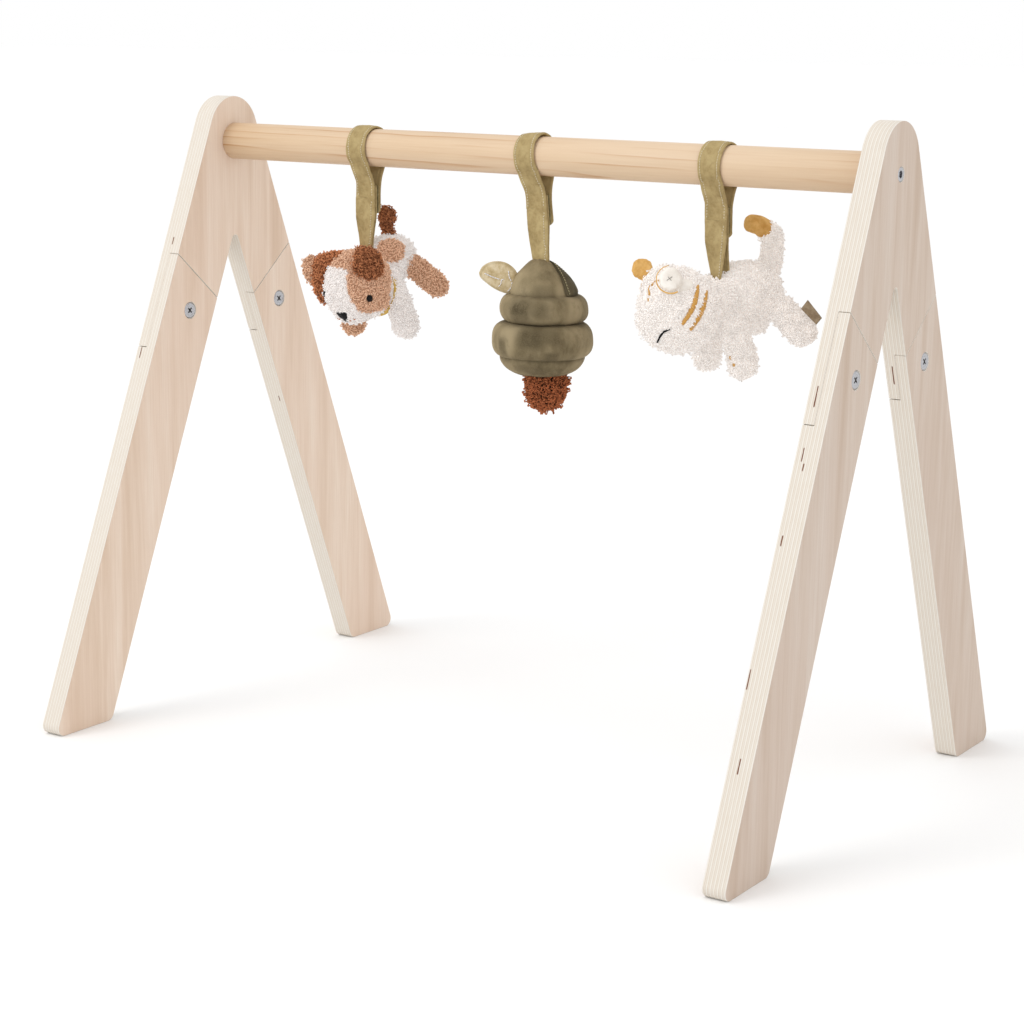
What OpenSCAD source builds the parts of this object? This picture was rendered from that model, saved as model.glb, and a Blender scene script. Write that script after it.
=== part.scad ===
/* [Overall] */
// Height from the floor to the top of the end frames
overall_h = 505; // [470:1:540]
// Clear distance between the two end frames
inner_w = 590; // [560:1:640]
// Lean of each leg from the vertical, in degrees
lean = 22.2; // [21:0.1:23.5]

/* [Plywood end frames] */
// Thickness of the plywood
ply_t = 18; // [16:1:20]
// Width of a leg, square to its length
leg_w = 60; // [54:1:64]
// Radius of the rounded top of a frame
top_r = 30; // [28:1:33]
// Radius of the rounded corners at the feet
foot_r = 7; // [4:1:9]
// Radius in the crotch where the inner edges meet
crotch_r = 4; // [2:1:6]
// Height of the lower shoulder of each lap joint
lap_low_z = 303; // [298:1:308]
// Height of the slanted upper seam at the middle of the leg
seam_z = 357; // [352:1:362]
// Distance of that seam point from the middle of the frame
seam_y = 46.5; // [44:0.5:49]
// Slope of the seam from the level, in degrees
seam_slope = 40; // [35:1:45]
// Gap left open in the lap joints
lap_gap = 0.5; // [0.2:0.1:1]

/* [Bar] */
// Diameter of the wooden bar
bar_d = 30; // [28:1:32]
// Height of the bar's middle above the floor
bar_z = 468; // [462:1:472]

/* [Fasteners] */
// Distance of the leg bolts from the middle of the frame
leg_bolt_y = 58; // [56:0.5:60]
// Height of the leg bolts
leg_bolt_z = 330; // [326:1:334]
// Bore through the lap joint for the sleeve nut
sleeve_d = 9; // [8:0.5:10]
// Diameter of the flat flange of a leg bolt or its nut
flange_d = 13; // [12:0.5:15]
// Thickness of that flange
flange_t = 1.3; // [1:0.1:1.6]
// Diameter of the bar bolt's round head
bar_head_d = 10; // [9:0.5:11]
// Length of the bar bolt below its head
bar_bolt_l = 34; // [30:1:40]
// Depth of the bar bolt's seat in the plywood
bar_seat = 6.2; // [5:0.1:8]
// Shank diameter of every bolt
bolt_d = 6; // [5:0.5:6]

/* [Straps] */
// Width of the velvet straps
strap_w = 19; // [16:1:22]
// Thickness of a strap
strap_t = 1.8; // [1.4:0.1:2.2]
// Thickness of one half of the hook-and-loop tape
tape_t = 0.8; // [0.6:0.1:1]
// Gap between a strap and the bar
strap_gap = 0.55; // [0.5:0.05:0.8]
// Height of the free end of a strap
free_end_z = 414; // [412:1:420]
// Place of the puppy's strap along the bar
puppy_x = -154; // [-160:1:-150]
// Place of the hive's strap along the bar
hive_x = 8; // [0:1:10]
// Place of the tiger's strap along the bar
tiger_x = 169; // [160:1:170]
// Sideways lean of the hive's strap, in degrees
hive_tilt = 5.5; // [0:0.5:5.5]

/* [Puppy] */
// Height of the puppy's back where the strap is sewn on
puppy_z = 390; // [386:1:392]
// Turn of the puppy from facing straight to the front
puppy_turn = -5; // [-15:1:5]
// Radius of the puppy's head
puppy_head_r = 29; // [27:0.5:30]
// Radius of the puppy's body
puppy_body_r = 22.5; // [20:0.5:24]

/* [Hive] */
// Height of the top of the hive's dome
hive_z = 390.5; // [388:0.5:392]
// Radius of the upper roll of the hive
hive_upper_r = 35; // [33:0.5:37]
// Radius of the lower roll of the hive
hive_lower_r = 40; // [38:0.5:41]

/* [Tiger] */
// Height of the tiger's back where the strap is sewn on
tiger_z = 387; // [385:1:390]
// Turn of the tiger from facing straight to the front
tiger_turn = -26; // [-32:1:-18]
// Radius of the tiger's head
tiger_head_r = 31; // [29:0.5:32]
// Radius of the tiger's body
tiger_body_r = 25; // [23:0.5:26]

/* [Hidden] */
$fn = 64;

big = 1000;
eps = 0.01;
// How far one flat shape runs into the next so that they join
merge = 0.5;
// How far a cut runs past the face it opens
past = 1;
half_t = ply_t / 2;
frame_x = (inner_w + ply_t) / 2;
top_z = overall_h - top_r;
bar_r = bar_d / 2;
// Bore diameters for a bolt's shank: sliding through wood, and cut with its thread
clear_d = bolt_d + 0.4;
thread_d = bolt_d + 0.1;
tilt_drop_x = (bar_z - hive_z) * tan(hive_tilt);

// Half width of the frame's outer and inner outlines at height z
function outer_y(z) = (top_r + sin(lean) * (top_z - z)) / cos(lean);
function inner_y(z) = outer_y(z) - leg_w / cos(lean);
crotch_z = top_z - (leg_w - top_r) / sin(lean);

// Upper right quarter points of an ellipse, for the revolved soft shapes
function arc_points(rx, ry, from, to, steps = 12) =
    [for (i = [0:steps]) let (a = from + (to - from) * i / steps) [rx * cos(a), ry * sin(a)]];

// ---------- plywood end frames ----------

// A fillet's waste: the tip of a corner at p, outside a circle that touches both edges
module corner_waste(p, dir_a, dir_b, r) {
    half = acos(dir_a * dir_b) / 2;
    reach = r / tan(half);
    mid = (dir_a + dir_b) / norm(dir_a + dir_b);
    difference() {
        polygon([p - mid * merge, p + dir_a * reach, p + mid * (r / sin(half)), p + dir_b * reach]);
        translate(p + mid * (r / sin(half))) circle(r);
    }
}

// The whole frame outline, seen along the bar: across is depth, up is height
module frame_outline() {
    out = [sin(lean), cos(lean)];
    difference() {
        union() {
            translate([0, top_z]) circle(top_r);
            polygon([
                [-outer_y(0), 0], [outer_y(0), 0],
                [top_r * cos(lean), top_z + top_r * sin(lean)],
                [-top_r * cos(lean), top_z + top_r * sin(lean)]
            ]);
        }
        polygon([[-inner_y(-past), -past], [inner_y(-past), -past], [0, crotch_z]]);
        for (side = [-1, 1]) {
            corner_waste([side * outer_y(0), 0], [-side, 0], [-side * out[0], out[1]], foot_r);
            corner_waste([side * inner_y(0), 0], [side, 0], [-side * out[0], out[1]], foot_r);
        }
    }
    crotch_web();
}

// The little web that rounds the crotch
module crotch_web() {
    centre_z = crotch_z - crotch_r / sin(lean);
    touch = crotch_r * cos(lean);
    difference() {
        polygon([
            [0, crotch_z + merge],
            [touch + merge, centre_z + crotch_r * sin(lean)],
            [-touch - merge, centre_z + crotch_r * sin(lean)]
        ]);
        translate([0, centre_z]) circle(crotch_r);
    }
}

// Everything above the seam of the leg on one side, raised by lift
module above_seam(side, lift = 0) {
    rise = tan(seam_slope);
    middle_z = seam_z + lift - rise * seam_y;
    polygon([
        [0, middle_z], [side * big, middle_z + rise * big],
        [side * big, 2 * big], [0, 2 * big]
    ]);
}

// One side of the plane above a height
module above(side, z) {
    translate([side > 0 ? 0 : -big, z]) square([big, big]);
}

// Stands a flat outline up in a frame, from depth x0 for a thickness t
module stand(x0, t) {
    translate([x0, 0, 0]) rotate([90, 0, 90]) linear_extrude(t) children();
}

// Room round a flange in its counterbore, and under it
flange_room = 1;
flange_deep = flange_t + 0.1;

// Through bores for the sleeve nuts, with a counterbore on each face for the flanges
module leg_bolt_bores(x0) {
    for (side = [-1, 1]) translate([x0, side * leg_bolt_y, leg_bolt_z]) rotate([0, 90, 0]) {
        translate([0, 0, -past]) cylinder(h = ply_t + 2 * past, d = sleeve_d);
        translate([0, 0, ply_t - flange_deep]) cylinder(h = ply_t, d = flange_d + flange_room);
        translate([0, 0, flange_deep - ply_t]) cylinder(h = ply_t, d = flange_d + flange_room);
    }
}

// Room round a bar bolt's head in its counterbore
bar_head_room = 0.8;

// The rounded upper part, with a half-thickness tongue down each leg.
// side_x is +1 for the right frame and -1 for the left one.
module head_piece(side_x) {
    x0 = side_x * frame_x - half_t;
    difference() {
        union() {
            stand(x0, ply_t) intersection() {
                frame_outline();
                for (side = [-1, 1]) above_seam(side);
            }
            stand(x0, half_t) intersection() {
                frame_outline();
                for (side = [-1, 1]) above(side, lap_low_z + lap_gap);
            }
        }
        leg_bolt_bores(x0);
        translate([side_x * frame_x, 0, bar_z]) rotate([0, side_x * 90, 0]) {
            translate([0, 0, -ply_t]) cylinder(h = 2 * ply_t, d = clear_d);
            translate([0, 0, half_t - bar_seat]) cylinder(h = ply_t, d = bar_head_d + bar_head_room);
        }
    }
}

// One leg, with a half-thickness tongue up to the slanted seam
module leg(side_x, side) {
    x0 = side_x * frame_x - half_t;
    difference() {
        union() {
            stand(x0, ply_t) intersection() {
                frame_outline();
                translate([side > 0 ? 0 : -big, lap_low_z - big]) square([big, big]);
            }
            stand(x0 + half_t, half_t) difference() {
                intersection() {
                    frame_outline();
                    above(side, lap_low_z - eps);
                }
                above_seam(side, -lap_gap);
            }
        }
        leg_bolt_bores(x0);
    }
}

module left_head() { color("#e4cebc") head_piece(-1); }
module right_head() { color("#d3bfae") head_piece(1); }
module left_front_leg() { color("#e4cebc") leg(-1, -1); }
module left_back_leg() { color("#dcc6b0") leg(-1, 1); }
module right_front_leg() { color("#d3bfae") leg(1, -1); }
module right_back_leg() { color("#d3bfae") leg(1, 1); }

// ---------- bar ----------

// Bore in each end of the bar: the insert's seat, then a smaller pilot
insert_d = 10;
insert_l = 15;
pilot_l = 30;

module bar() {
    color("#f0d4ac") difference() {
        translate([-inner_w / 2, 0, bar_z]) rotate([0, 90, 0]) cylinder(h = inner_w, r = bar_r);
        for (end = [-1, 1]) translate([end * inner_w / 2, 0, bar_z]) rotate([0, -end * 90, 0]) {
            translate([0, 0, -past]) cylinder(h = insert_l + past, d = insert_d);
            translate([0, 0, -past]) cylinder(h = pilot_l + past, d = clear_d);
        }
    }
}

// Threaded insert nuts, one sunk in each end of the bar
module bar_inserts() {
    color("#b9b09a") for (end = [-1, 1])
        translate([end * inner_w / 2, 0, bar_z]) rotate([0, -end * 90, 0]) difference() {
            cylinder(h = insert_l, d = insert_d);
            translate([0, 0, -past]) cylinder(h = insert_l + 2 * past, d = thread_d);
        }
}

// Length of the bar bolt's head, and depth and width of its six-sided socket
bar_head_l = 5.8;
bar_socket_l = 3;
bar_socket_d = 5.8;

// Round-headed bolts with a six-sided socket, one through each frame into the bar
module bar_bolts() {
    color("#9a9ca0") for (end = [-1, 1])
        translate([end * (inner_w / 2 + ply_t), 0, bar_z]) rotate([0, end * 90, 0]) difference() {
            union() {
                translate([0, 0, -bar_seat]) cylinder(h = bar_head_l, d = bar_head_d);
                translate([0, 0, -bar_seat - bar_bolt_l]) cylinder(h = bar_bolt_l + merge, d = bolt_d);
            }
            translate([0, 0, bar_head_l - bar_seat - bar_socket_l])
                cylinder(h = bar_socket_l + past, d = bar_socket_d, $fn = 6);
        }
}

// ---------- leg fasteners ----------

module at_leg_bolts() {
    for (side_x = [-1, 1], side = [-1, 1])
        translate([side_x * frame_x, side * leg_bolt_y, leg_bolt_z]) rotate([0, 90, 0]) children();
}

// The flange's straight rim, its bevel, and the ring round its sunk middle
flange_rim = 0.5;
flange_bevel = 0.9;
flange_ring = 2;
flange_dish = 0.4;
// The cross recess: length and width of its slots, and their depth
cross_l = 5.6;
cross_w = 1.4;
cross_deep = 1.7;
// Where the bolt's shank ends inside the sleeve nut, below the middle of the plywood
shank_end = -4;

module flange_profile() {
    r = flange_d / 2;
    polygon([
        [0, 0], [r, 0], [r, flange_rim], [r - flange_bevel, flange_t], [r - flange_ring, flange_t],
        [r - flange_ring - 1.5 * flange_dish, flange_t - flange_dish], [0, flange_t - flange_dish]
    ]);
}

// Flanged connector bolts with a cross recess, heads on the +X face of each frame
module leg_bolts() {
    color("#b8bcc0") at_leg_bolts() difference() {
        union() {
            translate([0, 0, half_t - flange_t]) rotate_extrude() flange_profile();
            translate([0, 0, shank_end]) cylinder(h = half_t, d = bolt_d);
        }
        for (turn = [45, 135]) translate([0, 0, half_t]) rotate([0, 0, turn])
            cube([cross_l, cross_w, 2 * cross_deep], center = true);
    }
}

// A sleeve nut's length, the depth of its six-sided socket, and where its thread begins
sleeve_l = 13.5;
nut_socket_l = 2.2;
nut_socket_d = 4.6;
nut_thread_from = 3;
// Play of the sleeve in its bore
sleeve_play = 0.2;

// Sleeve nuts, their flanges on the -X face of each frame
module leg_nuts() {
    color("#b8bcc0") at_leg_bolts() difference() {
        union() {
            translate([0, 0, -half_t]) cylinder(h = flange_t, d = flange_d);
            translate([0, 0, -half_t]) cylinder(h = sleeve_l, d = sleeve_d - sleeve_play);
        }
        translate([0, 0, nut_thread_from - half_t]) cylinder(h = ply_t, d = thread_d);
        translate([0, 0, -half_t - past]) cylinder(h = nut_socket_l + past, d = nut_socket_d, $fn = 6);
    }
}

// ---------- straps ----------

wrap_r = bar_r + strap_gap;
// Angle below the level where each ply starts on the bar, and where it leaves the bar
ply_start = 0;
ply_leave = 32;
// Half the sector on top of the bar that the wrap covers
wrap_half = 48;
pinch_z = bar_z - 27;
// Middles of the front ply, short strap and back ply below the bar, across the bar
front_y = -3;
short_y = 0.2;
back_y = 5.3;
// Length of the hook-and-loop tapes, how far they sit in from a strap's edges and end
tape_l = 22;
tape_inset = 1.5;

function on_wrap(side, a, r) = [side * r * cos(a), bar_z - r * sin(a)];

// Outline of one ply of a strap, seen along the bar: round the bar, in to y, down to end_z
module ply_outline(side, y, end_z) {
    inner = y - side * strap_t / 2;
    outer = y + side * strap_t / 2;
    steps = 6;
    turn = (ply_leave - ply_start) / steps;
    polygon(concat(
        [for (i = [0:steps]) on_wrap(side, ply_start + turn * i, wrap_r)],
        [[inner, pinch_z], [inner, end_z], [outer, end_z], [outer, pinch_z]],
        [for (i = [steps:-1:0]) on_wrap(side, ply_start + turn * i, wrap_r + strap_t)]
    ));
}

module strap_piece(x, tilt, width = strap_w) {
    translate([x, 0, bar_z]) rotate([0, -tilt, 0]) translate([0, 0, -bar_z])
        stand(-width / 2, width) children();
}

// The part of a strap that lies over the top of the bar
module strap_wrap(x) {
    color("#baaa7a") strap_piece(x, 0) intersection() {
        difference() {
            translate([0, bar_z]) circle(wrap_r + strap_t);
            translate([0, bar_z]) circle(wrap_r);
        }
        polygon([[0, bar_z], [-big * tan(wrap_half), bar_z + big], [big * tan(wrap_half), bar_z + big]]);
    }
}

module strap_front(x, tilt, end_z) {
    color("#baaa7a") strap_piece(x, tilt) ply_outline(-1, front_y, end_z);
}

module strap_back(x, tilt) {
    color("#b2a272") strap_piece(x, tilt) ply_outline(1, back_y, free_end_z);
}

// The short strap that is sewn to the toy and carries the loop tape
module strap_short(x, tilt, end_z) {
    color("#b2a272") strap_piece(x, tilt)
        translate([short_y - strap_t / 2, end_z]) square([strap_t, pinch_z - 2 - end_z]);
}

module hook_tape(x, tilt) {
    color("#8d8260") strap_piece(x, tilt, strap_w - 2 * tape_inset)
        translate([back_y - strap_t / 2 - tape_t, free_end_z + tape_inset]) square([tape_t, tape_l]);
}

module loop_tape(x, tilt) {
    color("#9b8f6a") strap_piece(x, tilt, strap_w - 2 * tape_inset)
        translate([short_y + strap_t / 2, free_end_z + tape_inset]) square([tape_t, tape_l]);
}

// Lower end of each strap, and the sewn root on the toy's back that it meets
puppy_end_z = puppy_z + 8;
hive_end_z = hive_z + 2;
tiger_end_z = tiger_z + 5;
root_r = 4.5;
root_gap = 0.5;
root_sunk = 4;

module puppy_strap_wrap() { strap_wrap(puppy_x); }
module puppy_strap_front() { strap_front(puppy_x, 0, puppy_end_z); }
module puppy_strap_back() { strap_back(puppy_x, 0); }
module puppy_strap_short() { strap_short(puppy_x, 0, puppy_end_z); }
module puppy_hook_tape() { hook_tape(puppy_x, 0); }
module puppy_loop_tape() { loop_tape(puppy_x, 0); }
module hive_strap_wrap() { strap_wrap(hive_x); }
module hive_strap_front() { strap_front(hive_x, hive_tilt, hive_end_z); }
module hive_strap_back() { strap_back(hive_x, hive_tilt); }
module hive_strap_short() { strap_short(hive_x, hive_tilt, hive_end_z); }
module hive_hook_tape() { hook_tape(hive_x, hive_tilt); }
module hive_loop_tape() { loop_tape(hive_x, hive_tilt); }
module tiger_strap_wrap() { strap_wrap(tiger_x); }
module tiger_strap_front() { strap_front(tiger_x, 0, tiger_end_z); }
module tiger_strap_back() { strap_back(tiger_x, 0); }
module tiger_strap_short() { strap_short(tiger_x, 0, tiger_end_z); }
module tiger_hook_tape() { hook_tape(tiger_x, 0); }
module tiger_loop_tape() { loop_tape(tiger_x, 0); }

// ---------- soft shapes ----------

// A stuffed limb: a round-ended rod of radius r between two points
module limb(a, b, r) {
    d = b - a;
    l = norm(d);
    translate(a) rotate([0, acos(d[2] / l), atan2(d[1], d[0])]) rotate_extrude() intersection() {
        translate([0, -r]) square([r, l + 2 * r]);
        union() {
            circle(r);
            translate([0, l]) circle(r);
            translate([-r, 0]) square([2 * r, l]);
        }
    }
}

// A flat round pad, such as an ear, of radius r and thickness t, its middle at c
module pad(c, r, t, turn) {
    translate(c) rotate(turn) rotate_extrude() polygon(arc_points(r, t / 2, -90, 90));
}

// ---------- puppy ----------
// Each toy is drawn facing -Y, with its own left on +X and z counted from its back

// How far the puppy's middle lies from its strap
puppy_shift = [4, -0.4, 0];
// Place of the sewn root along the puppy's back
puppy_root_y = 0.6;

module place_puppy() {
    translate([puppy_x, 0, puppy_z]) rotate([0, 0, puppy_turn]) translate(puppy_shift) children();
}

// Middle of the head, the way the face looks, and the ball of the muzzle
puppy_head_c = [0, -19, -29];
puppy_face = [0.186, -0.747, -0.64];
muzzle_out = 19;
muzzle_r = 16;
// The neck, the tail and the ball of the nose
neck_r = 18;
puppy_tail_r = 8;
nose_out = 35;
nose_r = 4.6;

module puppy_head_shape() {
    translate(puppy_head_c) sphere(puppy_head_r);
    translate(puppy_head_c + puppy_face * muzzle_out) sphere(muzzle_r);
}

// The round rump and the neck in front of it
module puppy_torso_shape() {
    limb([0, 20, -11], [0, 27, -11], puppy_body_r);
    limb([0, 0, -24], [0, 14, -18], neck_r);
}

module puppy_head() { color("#eee6e2") place_puppy() puppy_head_shape(); }

module puppy_body() {
    color("#eee6e2") place_puppy() difference() {
        union() {
            puppy_torso_shape();
            translate([-puppy_shift[0], puppy_root_y, -2 * root_sunk])
                cylinder(h = puppy_end_z - puppy_z + 2 * root_sunk - root_gap, r = root_r);
        }
        puppy_head_shape();
    }
}

module puppy_torso_waste() {
    puppy_head_shape();
    puppy_torso_shape();
}

module puppy_leg(a, b, r, tint) {
    color(tint) place_puppy() difference() {
        limb(a, b, r);
        puppy_torso_waste();
    }
}

// Ends of the front legs' middle lines, shoulder first
puppy_left_fore = [[18, 3, -30], [30, 10, -65]];
puppy_right_fore = [[-18, 3, -30], [-26, 6, -68]];
puppy_fore_r = 10.5;
puppy_hind_r = 9.5;

white_pile = "#eee6e2";
tan_pile = "#c89b78";

module puppy_left_front_leg() { puppy_leg(puppy_left_fore[0], puppy_left_fore[1], puppy_fore_r, white_pile); }
module puppy_right_front_leg() { puppy_leg(puppy_right_fore[0], puppy_right_fore[1], puppy_fore_r, tan_pile); }
module puppy_left_hind_leg() { puppy_leg([14, 32, -16], [30, 51, -35], puppy_hind_r, tan_pile); }
module puppy_right_hind_leg() { puppy_leg([-14, 32, -16], [-29, 49, -35], puppy_hind_r, tan_pile); }

module puppy_tail() {
    color("#82492d") place_puppy() difference() {
        limb([-1, 27, 8], [-1, 25, 25], puppy_tail_r);
        puppy_torso_waste();
    }
}

module puppy_left_ear() {
    color("#82492d") place_puppy() difference() {
        pad(puppy_head_c + [20, -11, 17], 13, 11, [0, 48, -30]);
        puppy_head_shape();
    }
}

module puppy_right_ear() {
    color("#82492d") place_puppy() difference() {
        pad(puppy_head_c + [-29, -15, 10], 15, 9, [0, -72, 40]);
        puppy_head_shape();
        limb(puppy_right_fore[0], puppy_right_fore[1], puppy_fore_r);
    }
}

module puppy_nose() {
    color("#1e1c1e") place_puppy() difference() {
        translate(puppy_head_c + puppy_face * nose_out) sphere(nose_r);
        puppy_head_shape();
    }
}

// The eyes: directions from the middle of the head, and how deep they are sunk
puppy_eye_dirs = [[24.5, -13.5, -9.8], [-15.2, -23.5, -9.8]];
puppy_eye_r = 2.6;
puppy_eye_sink = 0.4;

module puppy_eyes() {
    color("#1e1c1e") place_puppy() for (dir = puppy_eye_dirs) difference() {
        translate(puppy_head_c + dir * (puppy_head_r - puppy_eye_sink) / norm(dir)) sphere(puppy_eye_r);
        puppy_head_shape();
    }
}

// The collar's middle, its lean, radius and width
collar_c = [5, -3, -40];
collar_lean = 82;
collar_r = 20;
collar_w = 5;

// A ribbon round the neck, low at the front and hidden between head and legs
module puppy_collar() {
    color("#c8a03c") place_puppy() difference() {
        translate(collar_c) rotate([collar_lean, 0, 0]) cylinder(h = collar_w, r = collar_r, center = true);
        puppy_torso_waste();
        for (leg = [puppy_left_fore, puppy_right_fore]) limb(leg[0], leg[1], puppy_fore_r);
    }
}

// ---------- hive ----------

hive_axis_x = hive_x + tilt_drop_x;
dome_r = 25.5;
base_r = 33;
dome_low = -28.5;
upper_low = -50;
lower_low = -77;
base_low = -92;
pompom_low = -118.5;

// How far the hive's middle lies beside its strap
hive_shift = 2;

module place_hive() { translate([hive_axis_x + hive_shift, 0, hive_z]) children(); }

module dome_profile(grow = 0) {
    translate([0, dome_low]) intersection() {
        polygon(concat([[0, 0]], arc_points(dome_r + grow, -dome_low + grow, 0, 90)));
        square(2 * dome_r);
    }
}

// A stuffed roll round the hive: a fat ring with a round rim
module roll(r, low, high) {
    rim = (high - low) / 2;
    rotate_extrude() union() {
        translate([0, low]) square([r - rim, 2 * rim]);
        translate([r - rim, low + rim]) circle(rim);
    }
}

module hive_dome_shape() {
    rotate_extrude() dome_profile();
    translate([-hive_shift, 0, -root_sunk])
        cylinder(h = hive_end_z - hive_z + root_sunk - root_gap, r = root_r);
}

module hive_dome() { color("#857a60") place_hive() hive_dome_shape(); }

module hive_upper_roll() { color("#766c52") place_hive() roll(hive_upper_r, upper_low, dome_low); }
module hive_lower_roll() { color("#766c52") place_hive() roll(hive_lower_r, lower_low, upper_low); }

module hive_base() {
    color("#857a60") place_hive() translate([0, 0, lower_low]) rotate_extrude()
        polygon(concat([[0, 0]], arc_points(base_r, lower_low - base_low, 0, -90)));
}

// The pompom: its radius, its rounded lower edge, and its place beside the hive's middle
pompom_r = 17.5;
pompom_rim = 9;
pompom_x = 4;

module hive_pompom() {
    tall = base_low - pompom_low;
    color("#a55a3c") place_hive() translate([pompom_x, 0, pompom_low]) rotate_extrude() union() {
        translate([0, pompom_rim]) square([pompom_r, tall - pompom_rim]);
        intersection() {
            translate([pompom_r - pompom_rim, pompom_rim]) circle(pompom_rim);
            square([pompom_r, tall]);
        }
        square([pompom_r - pompom_rim, tall]);
    }
}

// The outline of a leaf: the overlap of two circles
module leaf_outline(length, width) {
    r = (length * length / 4 + width * width / 4) / width;
    intersection_for (side = [-1, 1]) translate([0, side * (r - width / 2)]) circle(r);
}

// The standing leaf: its length, width and middle, its turn about the upright and its droop
leaf_l = 31;
leaf_w = 21;
leaf_c = [-32, -20, -15];
leaf_turn = 32.8;
leaf_droop = -18;
leaf_t = 3;

module hive_leaf() {
    color("#cdbe8c") place_hive() difference() {
        translate(leaf_c) rotate([0, 0, leaf_turn]) rotate([90, 0, 0]) rotate([0, 0, leaf_droop])
            translate([0, 0, -leaf_t / 2]) linear_extrude(leaf_t) leaf_outline(leaf_l, leaf_w);
        rotate_extrude() dome_profile();
        roll(hive_upper_r, upper_low, dome_low);
    }
}

// A second leaf that lies flat against the side of the dome
flap_l = 34;
flap_w = 26;
flap_turn = 20;
flap_z = -14;
flap_t = 2;

module hive_flap() {
    color("#58513c") place_hive() difference() {
        intersection() {
            rotate_extrude() dome_profile(flap_t);
            rotate([0, 0, flap_turn]) translate([0, 0, flap_z]) rotate([0, 90, 0])
                linear_extrude(2 * dome_r) leaf_outline(flap_l, flap_w);
        }
        hive_dome_shape();
        roll(hive_upper_r, upper_low, dome_low);
    }
}

// ---------- tiger ----------

// Where the tiger's back lies, so that its weight hangs under the bar
tiger_y = 1;

module place_tiger() {
    translate([tiger_x, tiger_y, tiger_z]) rotate([0, 0, tiger_turn]) children();
}

tiger_head_c = [0, -34, -24];
// Radii of the chest, the legs, the tail and its tip
chest_r = 20;
tiger_leg_r = 10.8;
tiger_tail_r = 7.8;
tail_tip_r = 7.5;
// Ends of the left hind leg's middle line, hip first
tiger_left_hind = [[17, 42, -22], [29, 60, -42]];

module tiger_head_shape() { translate(tiger_head_c) sphere(tiger_head_r); }

module tiger_torso_shape() {
    limb([0, 24, -15], [0, 31, -15], tiger_body_r);
    limb([0, -8, -20], [0, 16, -17], chest_r);
}

module tiger_waste() {
    tiger_head_shape();
    tiger_torso_shape();
}

module tiger_head() { color("#f0e8e4") place_tiger() tiger_head_shape(); }

module tiger_body() {
    color("#f0e8e4") place_tiger() difference() {
        union() {
            tiger_torso_shape();
            translate([0, -tiger_y, -root_sunk])
                cylinder(h = tiger_end_z - tiger_z + root_sunk - root_gap, r = root_r);
        }
        tiger_head_shape();
    }
}

module tiger_leg(a, b) {
    color("#f0e8e4") place_tiger() difference() {
        limb(a, b, tiger_leg_r);
        tiger_waste();
    }
}

module tiger_left_front_leg() { tiger_leg([18, 7, -34], [28, 11, -63]); }
module tiger_right_front_leg() { tiger_leg([-18, 7, -34], [-25, 11, -62]); }
module tiger_left_hind_leg() { tiger_leg(tiger_left_hind[0], tiger_left_hind[1]); }
module tiger_right_hind_leg() { tiger_leg([-17, 42, -22], [-27, 56, -40]); }

tiger_ear_r = 11;
tiger_ear_t = 6;

// An ear, folded over so that both turn towards the tiger's left
module tiger_ear(at, turn) {
    color("#d7a550") place_tiger() difference() {
        pad(tiger_head_c + at, tiger_ear_r, tiger_ear_t, turn);
        tiger_head_shape();
    }
}

module tiger_left_ear() { tiger_ear([18.5, -19, 25.5], [64, 0, 55]); }
module tiger_right_ear() { tiger_ear([-21.5, -15.5, 27], [69, 0, 59]); }

// Where the tail bends, where its tip is sewn on, and the tip's end
tail_bend = [0, 51, 28];
tail_split = [0, 40, 34];
tail_end = [0, 31, 37.5];

module tiger_tail_shape() { limb([0, 49, 4], tail_bend, tiger_tail_r); }

module tiger_tail() {
    color("#f0e8e4") place_tiger() difference() {
        tiger_tail_shape();
        tiger_waste();
    }
}

module tiger_tail_tip() {
    color("#d7a550") place_tiger() difference() {
        limb(tail_split, tail_end, tail_tip_r);
        tiger_tail_shape();
    }
}

// The folded label in the left hind leg's seam: its size, middle and turn
label_size = [16, 1.2, 10];
label_c = [38, 58, -28];
label_turn = [0, 38, 60];

module tiger_label() {
    color("#968269") place_tiger() difference() {
        translate(label_c) rotate(label_turn) cube(label_size, center = true);
        limb(tiger_left_hind[0], tiger_left_hind[1], tiger_leg_r);
    }
}

left_head();
right_head();
left_front_leg();
left_back_leg();
right_front_leg();
right_back_leg();
bar();
bar_bolts();
bar_inserts();
leg_bolts();
leg_nuts();
puppy_strap_wrap();
puppy_strap_front();
puppy_strap_back();
puppy_strap_short();
puppy_hook_tape();
puppy_loop_tape();
hive_strap_wrap();
hive_strap_front();
hive_strap_back();
hive_strap_short();
hive_hook_tape();
hive_loop_tape();
tiger_strap_wrap();
tiger_strap_front();
tiger_strap_back();
tiger_strap_short();
tiger_hook_tape();
tiger_loop_tape();
puppy_body();
puppy_head();
puppy_left_ear();
puppy_right_ear();
puppy_nose();
puppy_eyes();
puppy_collar();
puppy_left_front_leg();
puppy_right_front_leg();
puppy_left_hind_leg();
puppy_right_hind_leg();
puppy_tail();
hive_dome();
hive_upper_roll();
hive_lower_roll();
hive_base();
hive_leaf();
hive_flap();
hive_pompom();
tiger_body();
tiger_head();
tiger_left_ear();
tiger_right_ear();
tiger_left_front_leg();
tiger_right_front_leg();
tiger_left_hind_leg();
tiger_right_hind_leg();
tiger_tail();
tiger_tail_tip();
tiger_label();
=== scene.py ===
"""Looks of the activity play gym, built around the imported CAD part."""
import math

import bmesh
import bpy
import numpy as np
from mathutils import Euler, Matrix, Vector
from mathutils.bvhtree import BVHTree

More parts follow.
